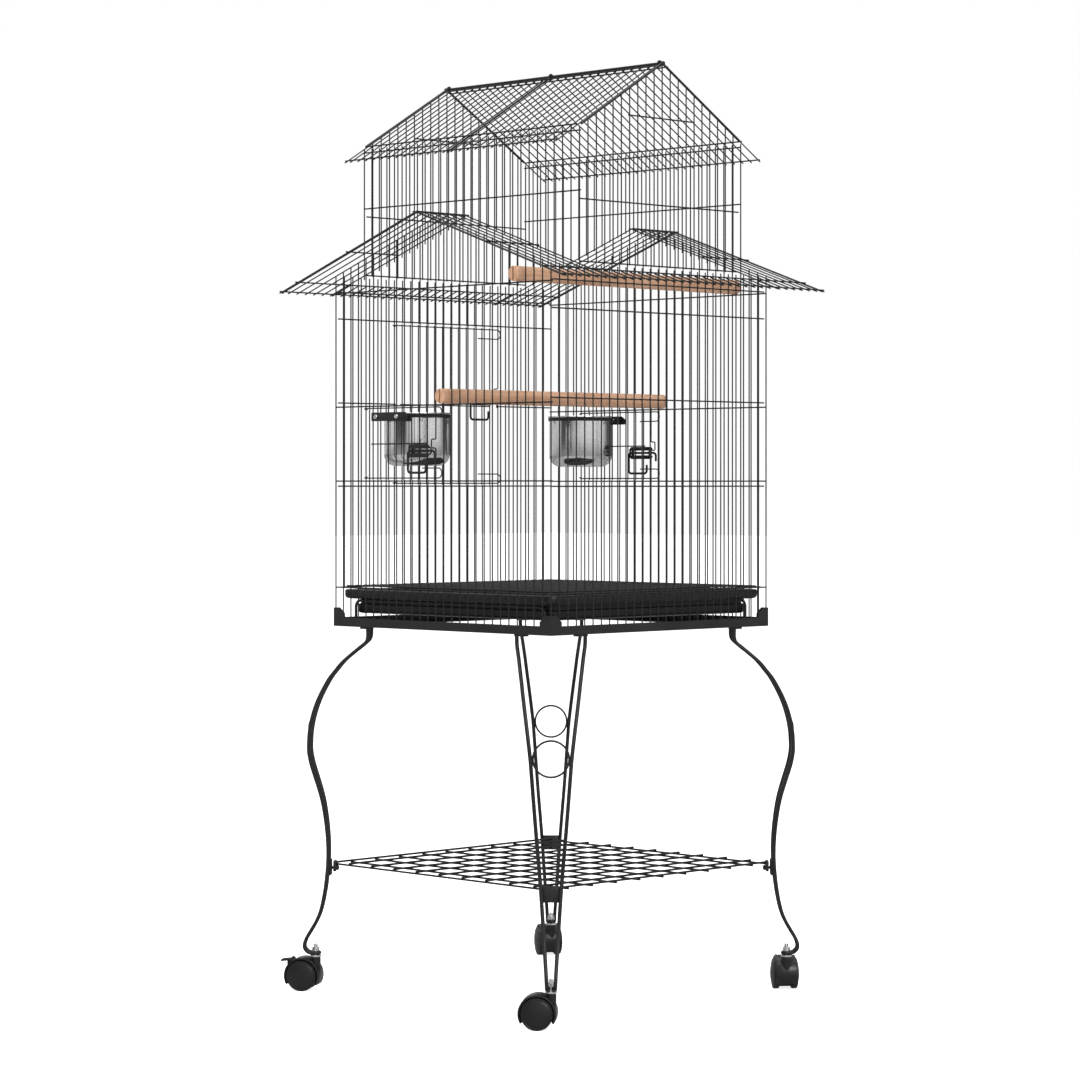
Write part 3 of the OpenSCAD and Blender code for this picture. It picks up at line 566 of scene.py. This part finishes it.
DOOR_OFF = 0.9
FRAME_R = 0.85
EYE_R = 1.85
TURN_R = 6.7
MAIN_DOOR = {"jambs": MAIN_JAMBS, "zs": (700, 922), "turn_out": 7, "back": 38, "mid_bars": (811,)}
FEEDER_DOOR = {"jambs": FEEDER_JAMBS, "zs": (707, 802), "turn_out": 14, "back": 24, "mid_bars": (753.4,)}
CLIP_T = 1.2
HOOK_PATH = [(4, 0, -12), (4, 0, 0), (-49.2, 0, 0), (-49.2, 0, -29.3), (-13.8, 0, -29.3), (-13.8, 0, -17)]
HOOK_OUT, HOOK_R, HOOK_BEND = -5.6, 1.6, 4.6


def frame_wire(shape, x0, x1, z, turn_out, back, up):
    """The wire curls round the hinge wire, runs across the door and turns back in a hairpin."""
    y = -DOOR_OFF - WIRE + 0.4 - FRAME_R
    end = x1 + turn_out - TURN_R
    rise, fall = 1.5, 0.094
    curl = arc(x0, 0, EYE_R, 70, 270, 16)
    path = [(px, py, z + up * (rise - k * fall)) for k, (px, py) in enumerate(curl)]
    path += [(x0 + 1.2, y, z), (end, y, z)]
    path += [(end + TURN_R * math.sin(a), y, z + up * TURN_R * (1 - math.cos(a)))
             for a in (math.pi * k / 14 for k in range(1, 15))]
    path.append((x1 - back, y, z + up * 2 * TURN_R))
    shape.tube(path, FRAME_R, 10)


def door(at, name, body, node, jambs, zs, turn_out, back, mid_bars):
    """A door's upright wires, its bars and the two frame wires that it hangs on."""
    s = Shape(at)
    past = 2.2
    for i in range(jambs[0] + 1, jambs[1]):
        s.line((wire_x(i), -DOOR_OFF, zs[0] - past), (wire_x(i), -DOOR_OFF, zs[1] + past))
    for z in mid_bars:
        y = -DOOR_OFF - WIRE - 0.6
        s.line((wire_x(jambs[0] + 1) - 2, y, z), (wire_x(jambs[1] - 1) + 2, y, z))
    x0, x1 = wire_x(jambs[0]), wire_x(jambs[1])
    frame_wire(s, x0, x1, zs[0], turn_out, back, 1)
    frame_wire(s, x0, x1, zs[1], turn_out, back, -1)
    s.make(name, body, IRON, [node])


def clip(at, name, body, node, x1, z):
    """A folded clip with a slot across it. It is drawn flat, with Z pointing outward."""
    s = Shape(at @ move(x1, 0, z) @ turn("X", 90))
    slot, half_h = 3.35, 8.75
    front = arc(-42.8, half_h - 3, 3, 90, 180, 5) + arc(-42.8, 3 - half_h, 3, 180, 270, 5)
    front += [(-7.5, -half_h), (-4, -5.6), (-6.4, -slot), (-42, -slot)]
    front += [(-42, slot), (-6.4, slot), (-4, 5.6), (-7.5, half_h)]
    s.plate(front, CLIP_T, move(0, 0, 7.15), 0.3)
    back = [(-45.5, 5.2), (-41.5, half_h), (-15.5, half_h), (-12.5, 5.6), (-8.6, 5.6), (-5, 2.2),
            (-5, 1.5), (-8.5, slot), (-40.5, slot), (-45.5, slot)]
    for flip in (1, -1):
        s.plate([(x, flip * y) for x, y in back][::flip], 1.3, move(0, 0, 2.1), 0.25)
        side = [(-41.5, half_h), (-15.5, half_h), (-15.5, half_h - 1.3), (-41.5, half_h - 1.3)]
        s.plate([(x, flip * y) for x, y in side][::flip], 5, move(0, 0, 2.8), 0.2)
    for x, half_z in ((-45.5, slot + 0.6), (-8.6, 2.1)):
        s.box((3.2, 2 * half_z, CLIP_T), move(x, -half_z, 2.15), 0.2)
    s.make(name, body, IRON, [node])


def hook_rod(at, name, body, node, x1, z):
    s = Shape(at @ move(x1, HOOK_OUT, z))
    s.tube(bend(HOOK_PATH, HOOK_BEND, 7), HOOK_R, 12)
    s.make(name, body, IRON, [node])


door(MAIN, "main_door_wires", "main_door", "main_door", **MAIN_DOOR)
clip(MAIN, "main_latch_clip", "main_door", "main_latch_plate", wire_x(MAIN_JAMBS[1]), END_LATCH)
hook_rod(MAIN, "main_latch_hook", "main_latch", "main_latch_rod", wire_x(MAIN_JAMBS[1]), END_LATCH)

# ---- feeders ----

CUP = (-99.6, 50.2, 723.8)  # the middle of the underside
CUP_R, CUP_H, CUP_WALL, CUP_CORNER = 45.0, 72.4, 0.9, 16.0
RIM_R = 1.25
BAND = (45.3, 46.5, 789.2, 793.6)  # radii and heights
CLAMP = (-133.4, -60.6, 784.6, 796.4)  # ends and heights of the outer plate
CLAMP_T = 1.2
INNER_END = -68  # where the inner plate stops
SCREWS = (-123.4, -81.9)


def nut(shape, at, r, h):
    """A chamfered hex nut standing on z = 0."""
    flat = r * math.cos(math.pi / 6)
    per = 24
    rings = []
    for z, cut in ((0, 0.9), (0.12, 1.0), (0.88, 1.0), (1, 0.9)):
        for k in range(per):
            a = 2 * math.pi * k / per
            to_side = flat / math.cos((a + math.pi / 6) % (math.pi / 3) - math.pi / 6)
            q = min(to_side, r * cut)
            rings.append((q * math.cos(a), q * math.sin(a), z * h))
    shape.skin(rings, per, at)


def thread(r, z0, z1, pitch=0.8):
    """Profile points of a threaded end, from z0 up to z1."""
    count = round((z1 - z0) / pitch)
    step = (z1 - z0) / count
    root = r - 0.32
    out = []
    for k in range(count):
        z = z0 + k * step
        out += [(root, z + 0.1 * step), (r, z + 0.5 * step), (root, z + 0.95 * step)]
    return out


def feeder(at, tag):
    """A feeder door with its latch, the band and clamp that hold the cup, and the cup."""
    x1 = wire_x(FEEDER_JAMBS[1])
    body = f"feeder_{tag}"
    door(at, f"feeder_{tag}_wires", body, f"feeder_door_{tag}", **FEEDER_DOOR)
    clip(at, f"feeder_{tag}_clip", body, f"feeder_latch_plate_{tag}", x1, SIDE_LATCH)
    hook_rod(at, f"feeder_{tag}_hook", f"feeder_latch_{tag}", f"feeder_latch_rod_{tag}", x1, SIDE_LATCH)

    s = Shape(at)
    xa, xb, za, zb = CLAMP
    cut = 0.8
    low, high = BAND[2:]
    outside = [(xa + cut, za), (xb - 2, za), (xb, za + 2), (xb, low + 2.4), (-68.3, zb), (xa + cut, zb),
               (xa, zb - cut), (xa, za + cut)]
    inside = [(xa + cut, za), (INNER_END - cut, za), (INNER_END, za + cut), (INNER_END, zb - cut),
              (INNER_END - cut, zb), (xa + cut, zb), (xa, zb - cut), (xa, za + cut)]
    for y, outline in ((1.4, inside), (-2.0, outside)):
        s.plate(outline, CLAMP_T, move(0, y, 0) @ turn("X", 90), 0.25)
    cx, cy = CUP[:2]
    a, b = BAND[:2]
    s.turned([(a, low + 0.3), (a + 0.3, low), (b - 0.3, low), (b, low + 0.3), (b, high - 0.3),
              (b - 0.3, high), (a + 0.3, high), (a, high - 0.3)], move(cx, cy, 0), 96)
    s.box((8, 3.1, high - low - 0.4), move(cx - 4, 1.0, low + 0.2), 0.3)
    s.make(f"cup_ring_{tag}", body, IRON, [f"cup_holder_{tag}"])

    s = Shape(at)
    zm = (za + zb) / 2
    for x in SCREWS:
        head = move(x, -3.25, zm) @ turn("X", 90)
        shank = [(0, -6.85), (1.6, -6.85), (1.9, -6.4), (1.9, 0)]
        rim = [(2.9, 0), (3.2, 0.3), (3.2, 1.5), (2.8, 2.1), (1.9, 2.1), (1.7, 1.8)]
        s.turned(shank + rim + [(1.7, 0.8), (0, 0.8)], head, 32)
        nut(s, move(x, 1.45, zm) @ turn("X", -90), 3.8, 1.9)
    s.make(f"cup_screws_{tag}", body, ZINC, [f"holder_screws_{tag}"])

    s = Shape(at @ move(*CUP))
    q, h, c = CUP_R, CUP_H, CUP_CORNER
    outer = [(0, 1.1), (q - c - 6, 1.1), (q - c - 4, 0.7), (q - c - 2, 0.1)]
    quarter = [math.pi * k / 24 for k in range(13)]
    outer += [(q - c + c * math.sin(a), c - c * math.cos(a)) for a in quarter]
    outer.append((q, h - 2.6))
    bead = [(q + 0.7 + RIM_R * math.cos(a), h - RIM_R + RIM_R * math.sin(a))
            for a in (math.radians(b) for b in (235, 265, 295, 325, 355, 25, 60, 90))]
    ci = c - CUP_WALL
    inner = [(q - 0.1, h - 0.1), (q - 0.7, h - 0.8), (q - CUP_WALL, h - 2)]
    inner += [(q - c + ci * math.sin(a), c - ci * math.cos(a)) for a in reversed(quarter)]
    inner += [(q - c - 2, 1.0), (q - c - 4, 1.6), (q - c - 6, 2.0), (0, 2.0)]
    s.turned(outer + bead + inner, None, 96)
    s.make(f"cup_bowl_{tag}", f"cup_{tag}", STEEL, [f"cup_{tag}"], smooth=50)


feeder(RIGHT, "right")
feeder(LEFT, "left")

# ---- perches ----

PERCH_R = 10.0
PERCH_END = HALF + 8
SLOT_AT = HALF - 1.4  # where the slots start
SLOT = 1.2  # half a slot's width
PERCHES = ((14, SIDE_BARS[2], "low"), (23, SIDE_BARS[3], "high"))  # the wire and the bar it rests at


def ends(shape, sign, y_side):
    """Half of a slotted dowel end: a D-shaped prism beside the slot."""
    round_off = 1.1
    rings = ((SLOT_AT - 0.3, PERCH_R), (PERCH_END - round_off, PERCH_R), (PERCH_END, PERCH_R - round_off))
    points, n = [], 17
    for x, r in rings:
        start = math.asin(SLOT / r)
        for k in range(n):
            a = start + (math.pi - 2 * start) * k / (n - 1)
            points.append((sign * x, y_side * r * math.sin(a), r * math.cos(a)))
    shape.skin(points, n)


for i, bar_z, tag in PERCHES:
    s = Shape(move(0, wire_x(i), bar_z + 1.2 + PERCH_R + 0.1))
    s.turned([(0, -SLOT_AT), (PERCH_R, -SLOT_AT), (PERCH_R, SLOT_AT), (0, SLOT_AT)], turn("Y", 90), 64)
    for sign in (1, -1):
        for y_side in (1, -1):
            ends(s, sign, y_side)
    s.make(f"perch_{tag}_dowel", "cage", WOOD, [f"perch_{tag}"])

# ---- floor grille and tray ----

EDGE = HALF - 5
GRILLE, GRILLE_BARS = 558.6, 558.6 - 1.8
s = Shape()
for i in range(1, GAPS):
    s.line((wire_x(i), -EDGE, GRILLE), (wire_x(i), EDGE, GRILLE))
for y in (2 - EDGE, -EDGE / 2, 0, EDGE / 2, EDGE - 2):
    s.line((-EDGE, y, GRILLE_BARS), (EDGE, y, GRILLE_BARS), BAR)
s.make("grille_wires", "cage", IRON, ["floor_grille"])


def rounded_square(half_side, r, z, steps=8):
    c = half_side - r
    out = []
    for sx, sy, a0 in ((1, 1, 0), (-1, 1, 90), (-1, -1, 180), (1, -1, 270)):
        out += [(x, y, z) for x, y in arc(sx * c, sy * c, r, a0, a0 + 90, steps)]
    return out


# half side, corner radius and height of each loop, from the underside round to the inner floor
TRAY_LOOPS = [
    (186.5, 8, 521), (189.2, 10, 521.6), (190.9, 11.2, 523), (191.6, 12, 525.2), (191.6, 12, 533),
    (190.9, 11.6, 533.9), (188.9, 11, 534.6), (188.9, 11, 540.8), (189.6, 11.4, 541.2), (200.4, 12.2, 541.2),
    (203.2, 12.8, 542.2), (204.8, 13.6, 544.2), (205.2, 14, 546.4), (205.2, 14, 551.8), (204.7, 13.6, 553.2),
    (203.3, 12.6, 553.8), (190.2, 9.5, 553.8), (188.6, 8.7, 553.2), (187.8, 8.2, 551.6),
    (187.2, 8, 529.5), (186.2, 7.4, 526.2), (183.6, 6, 524.2), (180.6, 5, 523.8)
]
s = Shape()
loops = [p for half_side, r, z in TRAY_LOOPS for p in rounded_square(half_side, r, z)]
s.skin(loops, len(loops) // len(TRAY_LOOPS))
s.make("tray_moulding", "tray", TRAY, ["tray"])

# ---- stand ----

STAND = 503.0
RAIL_OUT = HALF + WIRE + 0.2 + 1
# reach from the middle, height and half the gap between the two runs of a leg's rod
LEG_CURVE = [(250.6, 501, 44.7), (250.6, 489, 44.4), (254, 481.2, 43.4), (268.2, 469.6, 41.6),
             (284.5, 455.6, 39.8), (296.1, 442, 38), (306.4, 428, 36.4), (320.3, 400.7, 33),
             (329, 373, 29.6), (332.5, 345.5, 26.5), (330.4, 318, 24.4), (313, 256, 19.8),
             (307, 185, 13.9), (317, 112, 9), (339, 68, 6.1), (336, 54, 5.4), (STEM_REACH, 52, 5.3)]
ROD = 2.6
LOOP_R, LOOP_Z = 5.3, 52.0
RING_R, RING_WIRE, RING_AT = 23.3, 1.4, (333, 347)
PLATE = (18, 9.5, 2.5)
PLATE_Z = STAND - 0.1 - PLATE[2]
BOLT_AT = (151, 205.7)
BOLT_R = 2.0
SHELF_BOLT = 169.4
BRACKET = (302.6, 306.6, 11.0, 160.0, 181.0)  # two reaches, half width, two heights
LUG = (296.4, 300.2, 11.0, 165.0, 179.0)
SHELF_LINES = [-HALF, -180, -135, -90, -45, 0, 45, 90, 135, 180, HALF]


def bracket_box(shape, sizes, at=HERE):
    a, b, w, z0, z1 = sizes
    shape.box((b - a, 2 * w, z1 - z0), at @ move(a, -w, z0), 0.5)


def spline(points, steps):
    """A smooth curve through the points."""
    out = []
    for i in range(len(points) - 1):
        a, b = Vector(points[max(i - 1, 0)]), Vector(points[i])
        c, d = Vector(points[i + 1]), Vector(points[min(i + 2, len(points) - 1)])
        for k in range(steps):
            t = k / steps
            out.append(0.5 * (2 * b + (c - a) * t + (2 * a - 5 * b + 4 * c - d) * t * t
                              + (3 * b - a - 3 * c + d) * t ** 3))
    return out


ring_cad = nodes["stand_ring"]
edge = ring_cad.modifiers.new("edge", "BEVEL")
edge.width, edge.segments, edge.limit_method, edge.angle_limit = 0.00022, 2, "ANGLE", math.radians(40)
ring_cad.data.materials.clear()
ring_cad.data.materials.append(IRON)

half_leg = [(p.x, p.z, p.y) for p in spline(LEG_CURVE, 8)]
foot = [(x, y, LOOP_Z) for x, y in arc(STEM_REACH, 0, LOOP_R, 90, -90, 24)]
foot = [(2 * STEM_REACH - x, y, z) for x, y, z in foot]
leg_path = half_leg + foot + [(x, -y, z) for x, y, z in reversed(half_leg)]

for tag, (cx, cy, trail) in CORNERS.items():
    s = Shape(outward(cx, cy))
    s.tube(leg_path, ROD, 16)
    s.tube([(RING_AT[0], y, z) for y, z in arc(0, RING_AT[1], RING_R, 0, 360, 48)[:-1]], RING_WIRE, 10, True)
    bracket_box(s, BRACKET)
    for flip in (1, -1):
        to = Matrix.Diagonal((1, flip, 1, 1)) @ turn("Z", -45)
        corner = move(BOLT_AT[0] - PLATE[0] / 2, BOLT_AT[1] - PLATE[1] / 2, PLATE_Z)
        s.box(PLATE, to @ corner, 0.5)
    s.make(f"leg_{tag}_rod", "cage", IRON, [f"leg_{tag}"])

s = Shape()
reach = HALF + 2.4
for p in SHELF_LINES:
    s.line((-reach, p, 177), (reach, p, 177), 1.5, 12)
    s.line((p, -reach, 174.6), (p, reach, 174.6), 1.4, 12)
for cx, cy, trail in CORNERS.values():
    bracket_box(s, LUG, outward(cx, cy))
s.make("shelf_mesh", "cage", IRON, ["shelf"])

s = Shape()
for cx, cy, trail in CORNERS.values():
    for x, y in (BOLT_AT, BOLT_AT[::-1]):
        s.turned([(0, 0), (1.6, 0), (BOLT_R, 0.4), (BOLT_R, 3.9), (3.6, 3.9), (4, 4.2), (4, 5.2), (3.7, 6.1),
                  (2.8, 6.7), (1.5, 7), (0, 7.1)], move(cx * x, cy * y, PLATE_Z), 28)
s.make("stand_bolts", "cage", ZINC, ["frame_bolts"])

s = Shape()
tip = BRACKET[1] - LUG[0] + 3.7
for cx, cy, trail in CORNERS.values():
    at = outward(cx, cy) @ move(LUG[0] - 4.1, 0, SHELF_BOLT) @ turn("Y", 90)
    s.turned([(0, 0.2), (1.9, 0.3), (3.1, 0.9), (3.6, 2.0), (3.6, 4), (BOLT_R, 4.05), (BOLT_R, tip),
              (0, tip)], at, 24)
    at = move(cx * RAIL_OUT, cy * (RAIL_OUT - 8.05), STAND + 5) @ turn("Y", -90 * cx)
    s.turned([(0, 0.15), (1.5, 0.15), (1.5, 1.1), (2.4, 1.1), (2.6, 1.3), (2.6, 2.2), (2.1, 2.6),
              (0, 2.7)], at, 20)
s.make("stand_screws", "cage", IRON, ["frame_bolts"])

# ---- casters: drawn about the swivel axis, trailing along -X ----

SPINE = 7.8  # half the width of the web between the wheels
SHELL = (22.0, 25.0, 14.5)  # inner and outer radius, half width
SHELL_FROM, SHELL_TO = -29.5, 209.5  # degrees round the wheels' axis
BOSS_R, BOSS_Z = 7.0, 46.0
PIN = (-34.5, 41.5)  # the brake lever's pin
PAD_TILT = -8
WHEEL_AXIS = move(-TRAIL, 0, WHEEL_R) @ turn("X", 90)


def hood(at, tag, braked):
    """The shell over the wheels, the web between them, the stem's boss and the brake's ears."""
    s = Shape(at)
    r0, r1, w = SHELL
    sweep = SHELL_TO - SHELL_FROM
    half_wall = [(r0, -w + 0.8), (r0 + 0.8, -w), (r1 - 1.2, -w), (r1 - 0.35, -w + 0.35), (r1, -w + 1.2)]
    wall = half_wall + [(r, -y) for r, y in reversed(half_wall)]
    s.turned(wall, WHEEL_AXIS @ turn("Z", SHELL_FROM), 60, sweep)
    web = arc(0, 0, r0 + 0.6, SHELL_FROM, SHELL_TO, 40)
    web += arc(0, 0, WHEEL_R - 3, SHELL_TO, 360 + SHELL_FROM, 20)
    s.plate(web, 2 * SPINE, WHEEL_AXIS @ move(0, 0, -SPINE), 0)
    s.turned([(0, 20), (BOSS_R - 0.8, 20), (BOSS_R, 20.8), (BOSS_R, BOSS_Z - 0.8),
              (BOSS_R - 0.8, BOSS_Z), (0, BOSS_Z)], None, 40)
    if braked:
        px, pz = PIN
        for y in (8.2, -11.2):
            s.turned([(0, 0), (3.0, 0), (3.4, 0.4), (3.4, 2.6), (3.0, 3.0), (0, 3.0)],
                     move(px, y, pz) @ turn("X", -90), 28)
            s.box((6.4, 3, 8), move(px - 3.2, y, pz - 7.5), 0.4)
    s.make(f"hood_{tag}", f"caster_{tag}", NYLON, [f"caster_hood_{tag}"])


def caster(tag, cx, cy, trail):
    """A twin-wheel caster at one corner: hood, stem, axle, two wheels and, on two of them, a brake."""
    place = STEM_REACH / math.sqrt(2)
    at = move(cx * place, cy * place, 0) @ turn("Z", trail + 180)
    braked = tag in BRAKED
    hood(at, tag, braked)

    s = Shape(at)
    stem = [(0, 24), (2.3, 24), (2.5, 24.5), (2.5, 46.3), (7.1, 46.3), (7.5, 46.6), (7.5, 48.7), (7.1, 49.1),
            (2.5, 49.1), (2.5, 58)]
    s.turned(stem + thread(3.0, 58, 63.6) + [(2.3, 64.4), (0, 64.4)], None, 28)
    nut(s, move(0, 0, 55.9), 5.0, 3.6)
    s.turned([(2.4, 54.7), (5.6, 54.7), (5.6, 55.85), (2.4, 55.85)], None, 32)
    s.make(f"stem_{tag}", "cage", ZINC, [f"caster_stem_{tag}"])

    s = Shape(at @ WHEEL_AXIS)
    end = SPINE + 8.7
    s.turned([(0, -end), (2.6, -end), (3, 0.4 - end), (3, end - 0.4), (2.6, end), (0, end)], None, 28)
    s.make(f"axle_{tag}", f"caster_{tag}", ZINC, [f"caster_axle_{tag}"])

    for side, flip in (("a", 1), ("b", -1)):
        s = Shape(at @ Matrix.Diagonal((1, flip, 1, 1)) @ move(-TRAIL, 0, WHEEL_R) @ turn("X", -90))
        rim = WHEEL_R
        tread = [(0, 17.3), (3.1, 17.3), (3.1, 8.2), (rim - 2.6, 8.2), (rim - 0.8, 8.7), (rim, 9.8),
                 (rim, 15.3), (rim - 0.5, 16.5), (rim - 1.6, 17.0), (rim - 2.3, 16.9), (rim - 2.7, 16.6),
                 (rim - 3.1, 16.9)]
        dome = [(rim - 3.8 - 14 * t, 17.3 + 2.4 * math.sin(math.pi * t / 2))
                for t in (k / 8 for k in range(9))]
        s.turned(tread + dome + [(0, 20.0)], None, 64)
        s.make(f"wheel_{side}_{tag}_rim", f"wheel_{side}_{tag}", TREAD,
               [f"caster_wheel_{side}_{tag}"])

    if braked:
        s = Shape(at @ move(PIN[0], 0, PIN[1]))
        s.turned([(0, -9.8), (1.3, -9.8), (1.3, -7), (2.6, -7), (2.8, -6.8), (2.8, 6.8), (2.6, 7), (1.3, 7),
                  (1.3, 9.8), (0, 9.8)], turn("X", 90), 24)
        pad = [(0.6, -5.4), (0, -6.4), (-11.2, -6.8), (-13.9, -5.6), (-14.5, -3.6), (-14.5, 3.6),
               (-13.9, 5.6), (-11.2, 6.8), (0, 6.4), (0.6, 5.4)]
        tilt = turn("Y", PAD_TILT)
        s.plate(pad[::-1], 2.8, tilt @ move(0, 0, -0.4), 0.7)
        for k in range(4):
            s.box((0.9, 9, 0.7), tilt @ move(-12.8 + 2.2 * k, -4.5, 2.2), 0.2)
        s.make(f"brake_{tag}_pad", f"brake_{tag}", NYLON, [f"brake_lever_{tag}"])


for tag, place in CORNERS.items():
    caster(tag, *place)

# ---- floor, light and camera ----


def studio_floor():
    look = Look("floor", Roughness=0.9)
    look.shader.inputs["Specular IOR Level"].default_value = 0.1
    look.shader.inputs["Emission Color"].default_value = (1, 1, 1, 1)
    # The floor glows: brightly to the camera, which keeps it an even white, and faintly, 0.12, to all other
    # rays, so it also lights things from below.
    seen = look.node("ShaderNodeLightPath").outputs["Is Camera Ray"]
    look.to("Emission Strength", look.ramp(seen, [(0.0, 0.12), (1.0, 0.8)]))
    pale = look.ramp(look.noise(3.0, 2.0), [(0.3, 0.88), (0.7, 0.9)])
    # Painted reflection: seen in reflections, the floor becomes a dark grey, 0.3, which paints a darker floor
    # into the metal than the white floor the camera sees.
    mirrored = look.node("ShaderNodeLightPath").outputs["Is Glossy Ray"]
    look.to("Base Color", look.mix(mirrored, pale, (0.3, 0.3, 0.3, 1)))
    mesh = bpy.data.meshes.new("floor")
    size = 30.0
    corners = [(-size, -size, 0), (size, -size, 0), (size, size, 0), (-size, size, 0)]
    mesh.from_pydata(corners, [], [(0, 1, 2, 3)])
    mesh.materials.append(look.material)
    floor = bpy.data.objects.new("floor", mesh)
    bpy.context.scene.collection.objects.link(floor)


def studio_world():
    """White to the camera; its light comes mostly from above. Reflections see bands round the horizon."""
    world = bpy.data.worlds.new("studio")
    world.use_nodes = True
    bpy.context.scene.world = world
    tree = world.node_tree
    tree.nodes.clear()

    def node(kind):
        return tree.nodes.new(kind)

    def ramp(value, stops):
        made = node("ShaderNodeValToRGB")
        while len(made.color_ramp.elements) < len(stops):
            made.color_ramp.elements.new(0.5)
        for element, (at, grey) in zip(made.color_ramp.elements, stops):
            element.position = at
            element.color = (grey, grey, grey, 1)
        tree.links.new(value, made.inputs["Fac"])
        return made.outputs["Color"]

    def background(colour, strength):
        made = node("ShaderNodeBackground")
        tree.links.new(colour, made.inputs["Color"])
        made.inputs["Strength"].default_value = strength
        return made.outputs[0]

    def choose(factor, a, b):
        made = node("ShaderNodeMixShader")
        tree.links.new(factor, made.inputs["Fac"])
        tree.links.new(a, made.inputs[1])
        tree.links.new(b, made.inputs[2])
        return made.outputs[0]

    coords, split = node("ShaderNodeTexCoord"), node("ShaderNodeSeparateXYZ")
    scale = node("ShaderNodeMapRange")
    tree.links.new(coords.outputs["Generated"], split.inputs[0])
    scale.inputs["From Min"].default_value = -1.0
    tree.links.new(split.outputs["Z"], scale.inputs["Value"])
    round_horizon = node("ShaderNodeTexGradient")
    round_horizon.gradient_type = "RADIAL"
    tree.links.new(coords.outputs["Generated"], round_horizon.inputs["Vector"])
    height = scale.outputs["Result"]
    soft = background(ramp(height, [(0.0, 0.75), (0.45, 0.75), (0.56, 0.55), (0.72, 0.8), (1.0, 1.0)]), 0.65)
    bands = ramp(round_horizon.outputs["Fac"], [
        (0.0, 0.1), (0.11, 0.1), (0.14, 0.75), (0.4, 0.75), (0.418, 0.08), (0.52, 0.08), (0.533, 0.5),
        (0.625, 1.0), (0.86, 1.0), (0.94, 0.1), (1.0, 0.1)])
    above = ramp(height, [(0.72, 0.0), (0.86, 1.0)])
    seen = choose(above, background(bands, 0.9), background(ramp(height, [(0.0, 0.9), (1.0, 0.9)]), 1.0))
    plain = background(ramp(height, [(0.0, 1.0), (1.0, 1.0)]), 1.0)
    path, out = node("ShaderNodeLightPath"), node("ShaderNodeOutputWorld")
    light = choose(path.outputs["Is Glossy Ray"], soft, seen)
    tree.links.new(choose(path.outputs["Is Camera Ray"], light, plain), out.inputs["Surface"])


def softbox(name, at, aim, size, watts):
    data = bpy.data.lights.new(name, "AREA")
    data.shape = "RECTANGLE"
    data.size, data.size_y = size
    data.energy = watts
    lamp = bpy.data.objects.new(name, data)
    lamp.location = at
    lamp.rotation_euler = (Vector(aim) - Vector(at)).to_track_quat("-Z", "Y").to_euler()
    bpy.context.scene.collection.objects.link(lamp)
    return lamp


studio_floor()
studio_world()
softbox("key", (1.2, 4.6, 3.4), (0, 0, 0.6), (2.4, 2.4), 150)
softbox("fill", (4.8, -0.6, 2.2), (0, 0, 0.7), (1.8, 2.6), 80).visible_glossy = False
softbox("top", (0, 0, 5.0), (0, 0, 0), (3.6, 3.6), 120)

camera = bpy.data.cameras.new("camera")
camera.lens, camera.sensor_width = 108.6, 36
camera.shift_x, camera.shift_y = -0.0101852, -0.0518519
camera.clip_end = 100
eye = bpy.data.objects.new("camera", camera)
eye.location = (3.182, 3.182, 0.699)
eye.rotation_euler = (math.radians(90), 0, math.radians(135))
bpy.context.scene.collection.objects.link(eye)
bpy.context.scene.camera = eye
bpy.context.scene.view_settings.view_transform = "Standard"
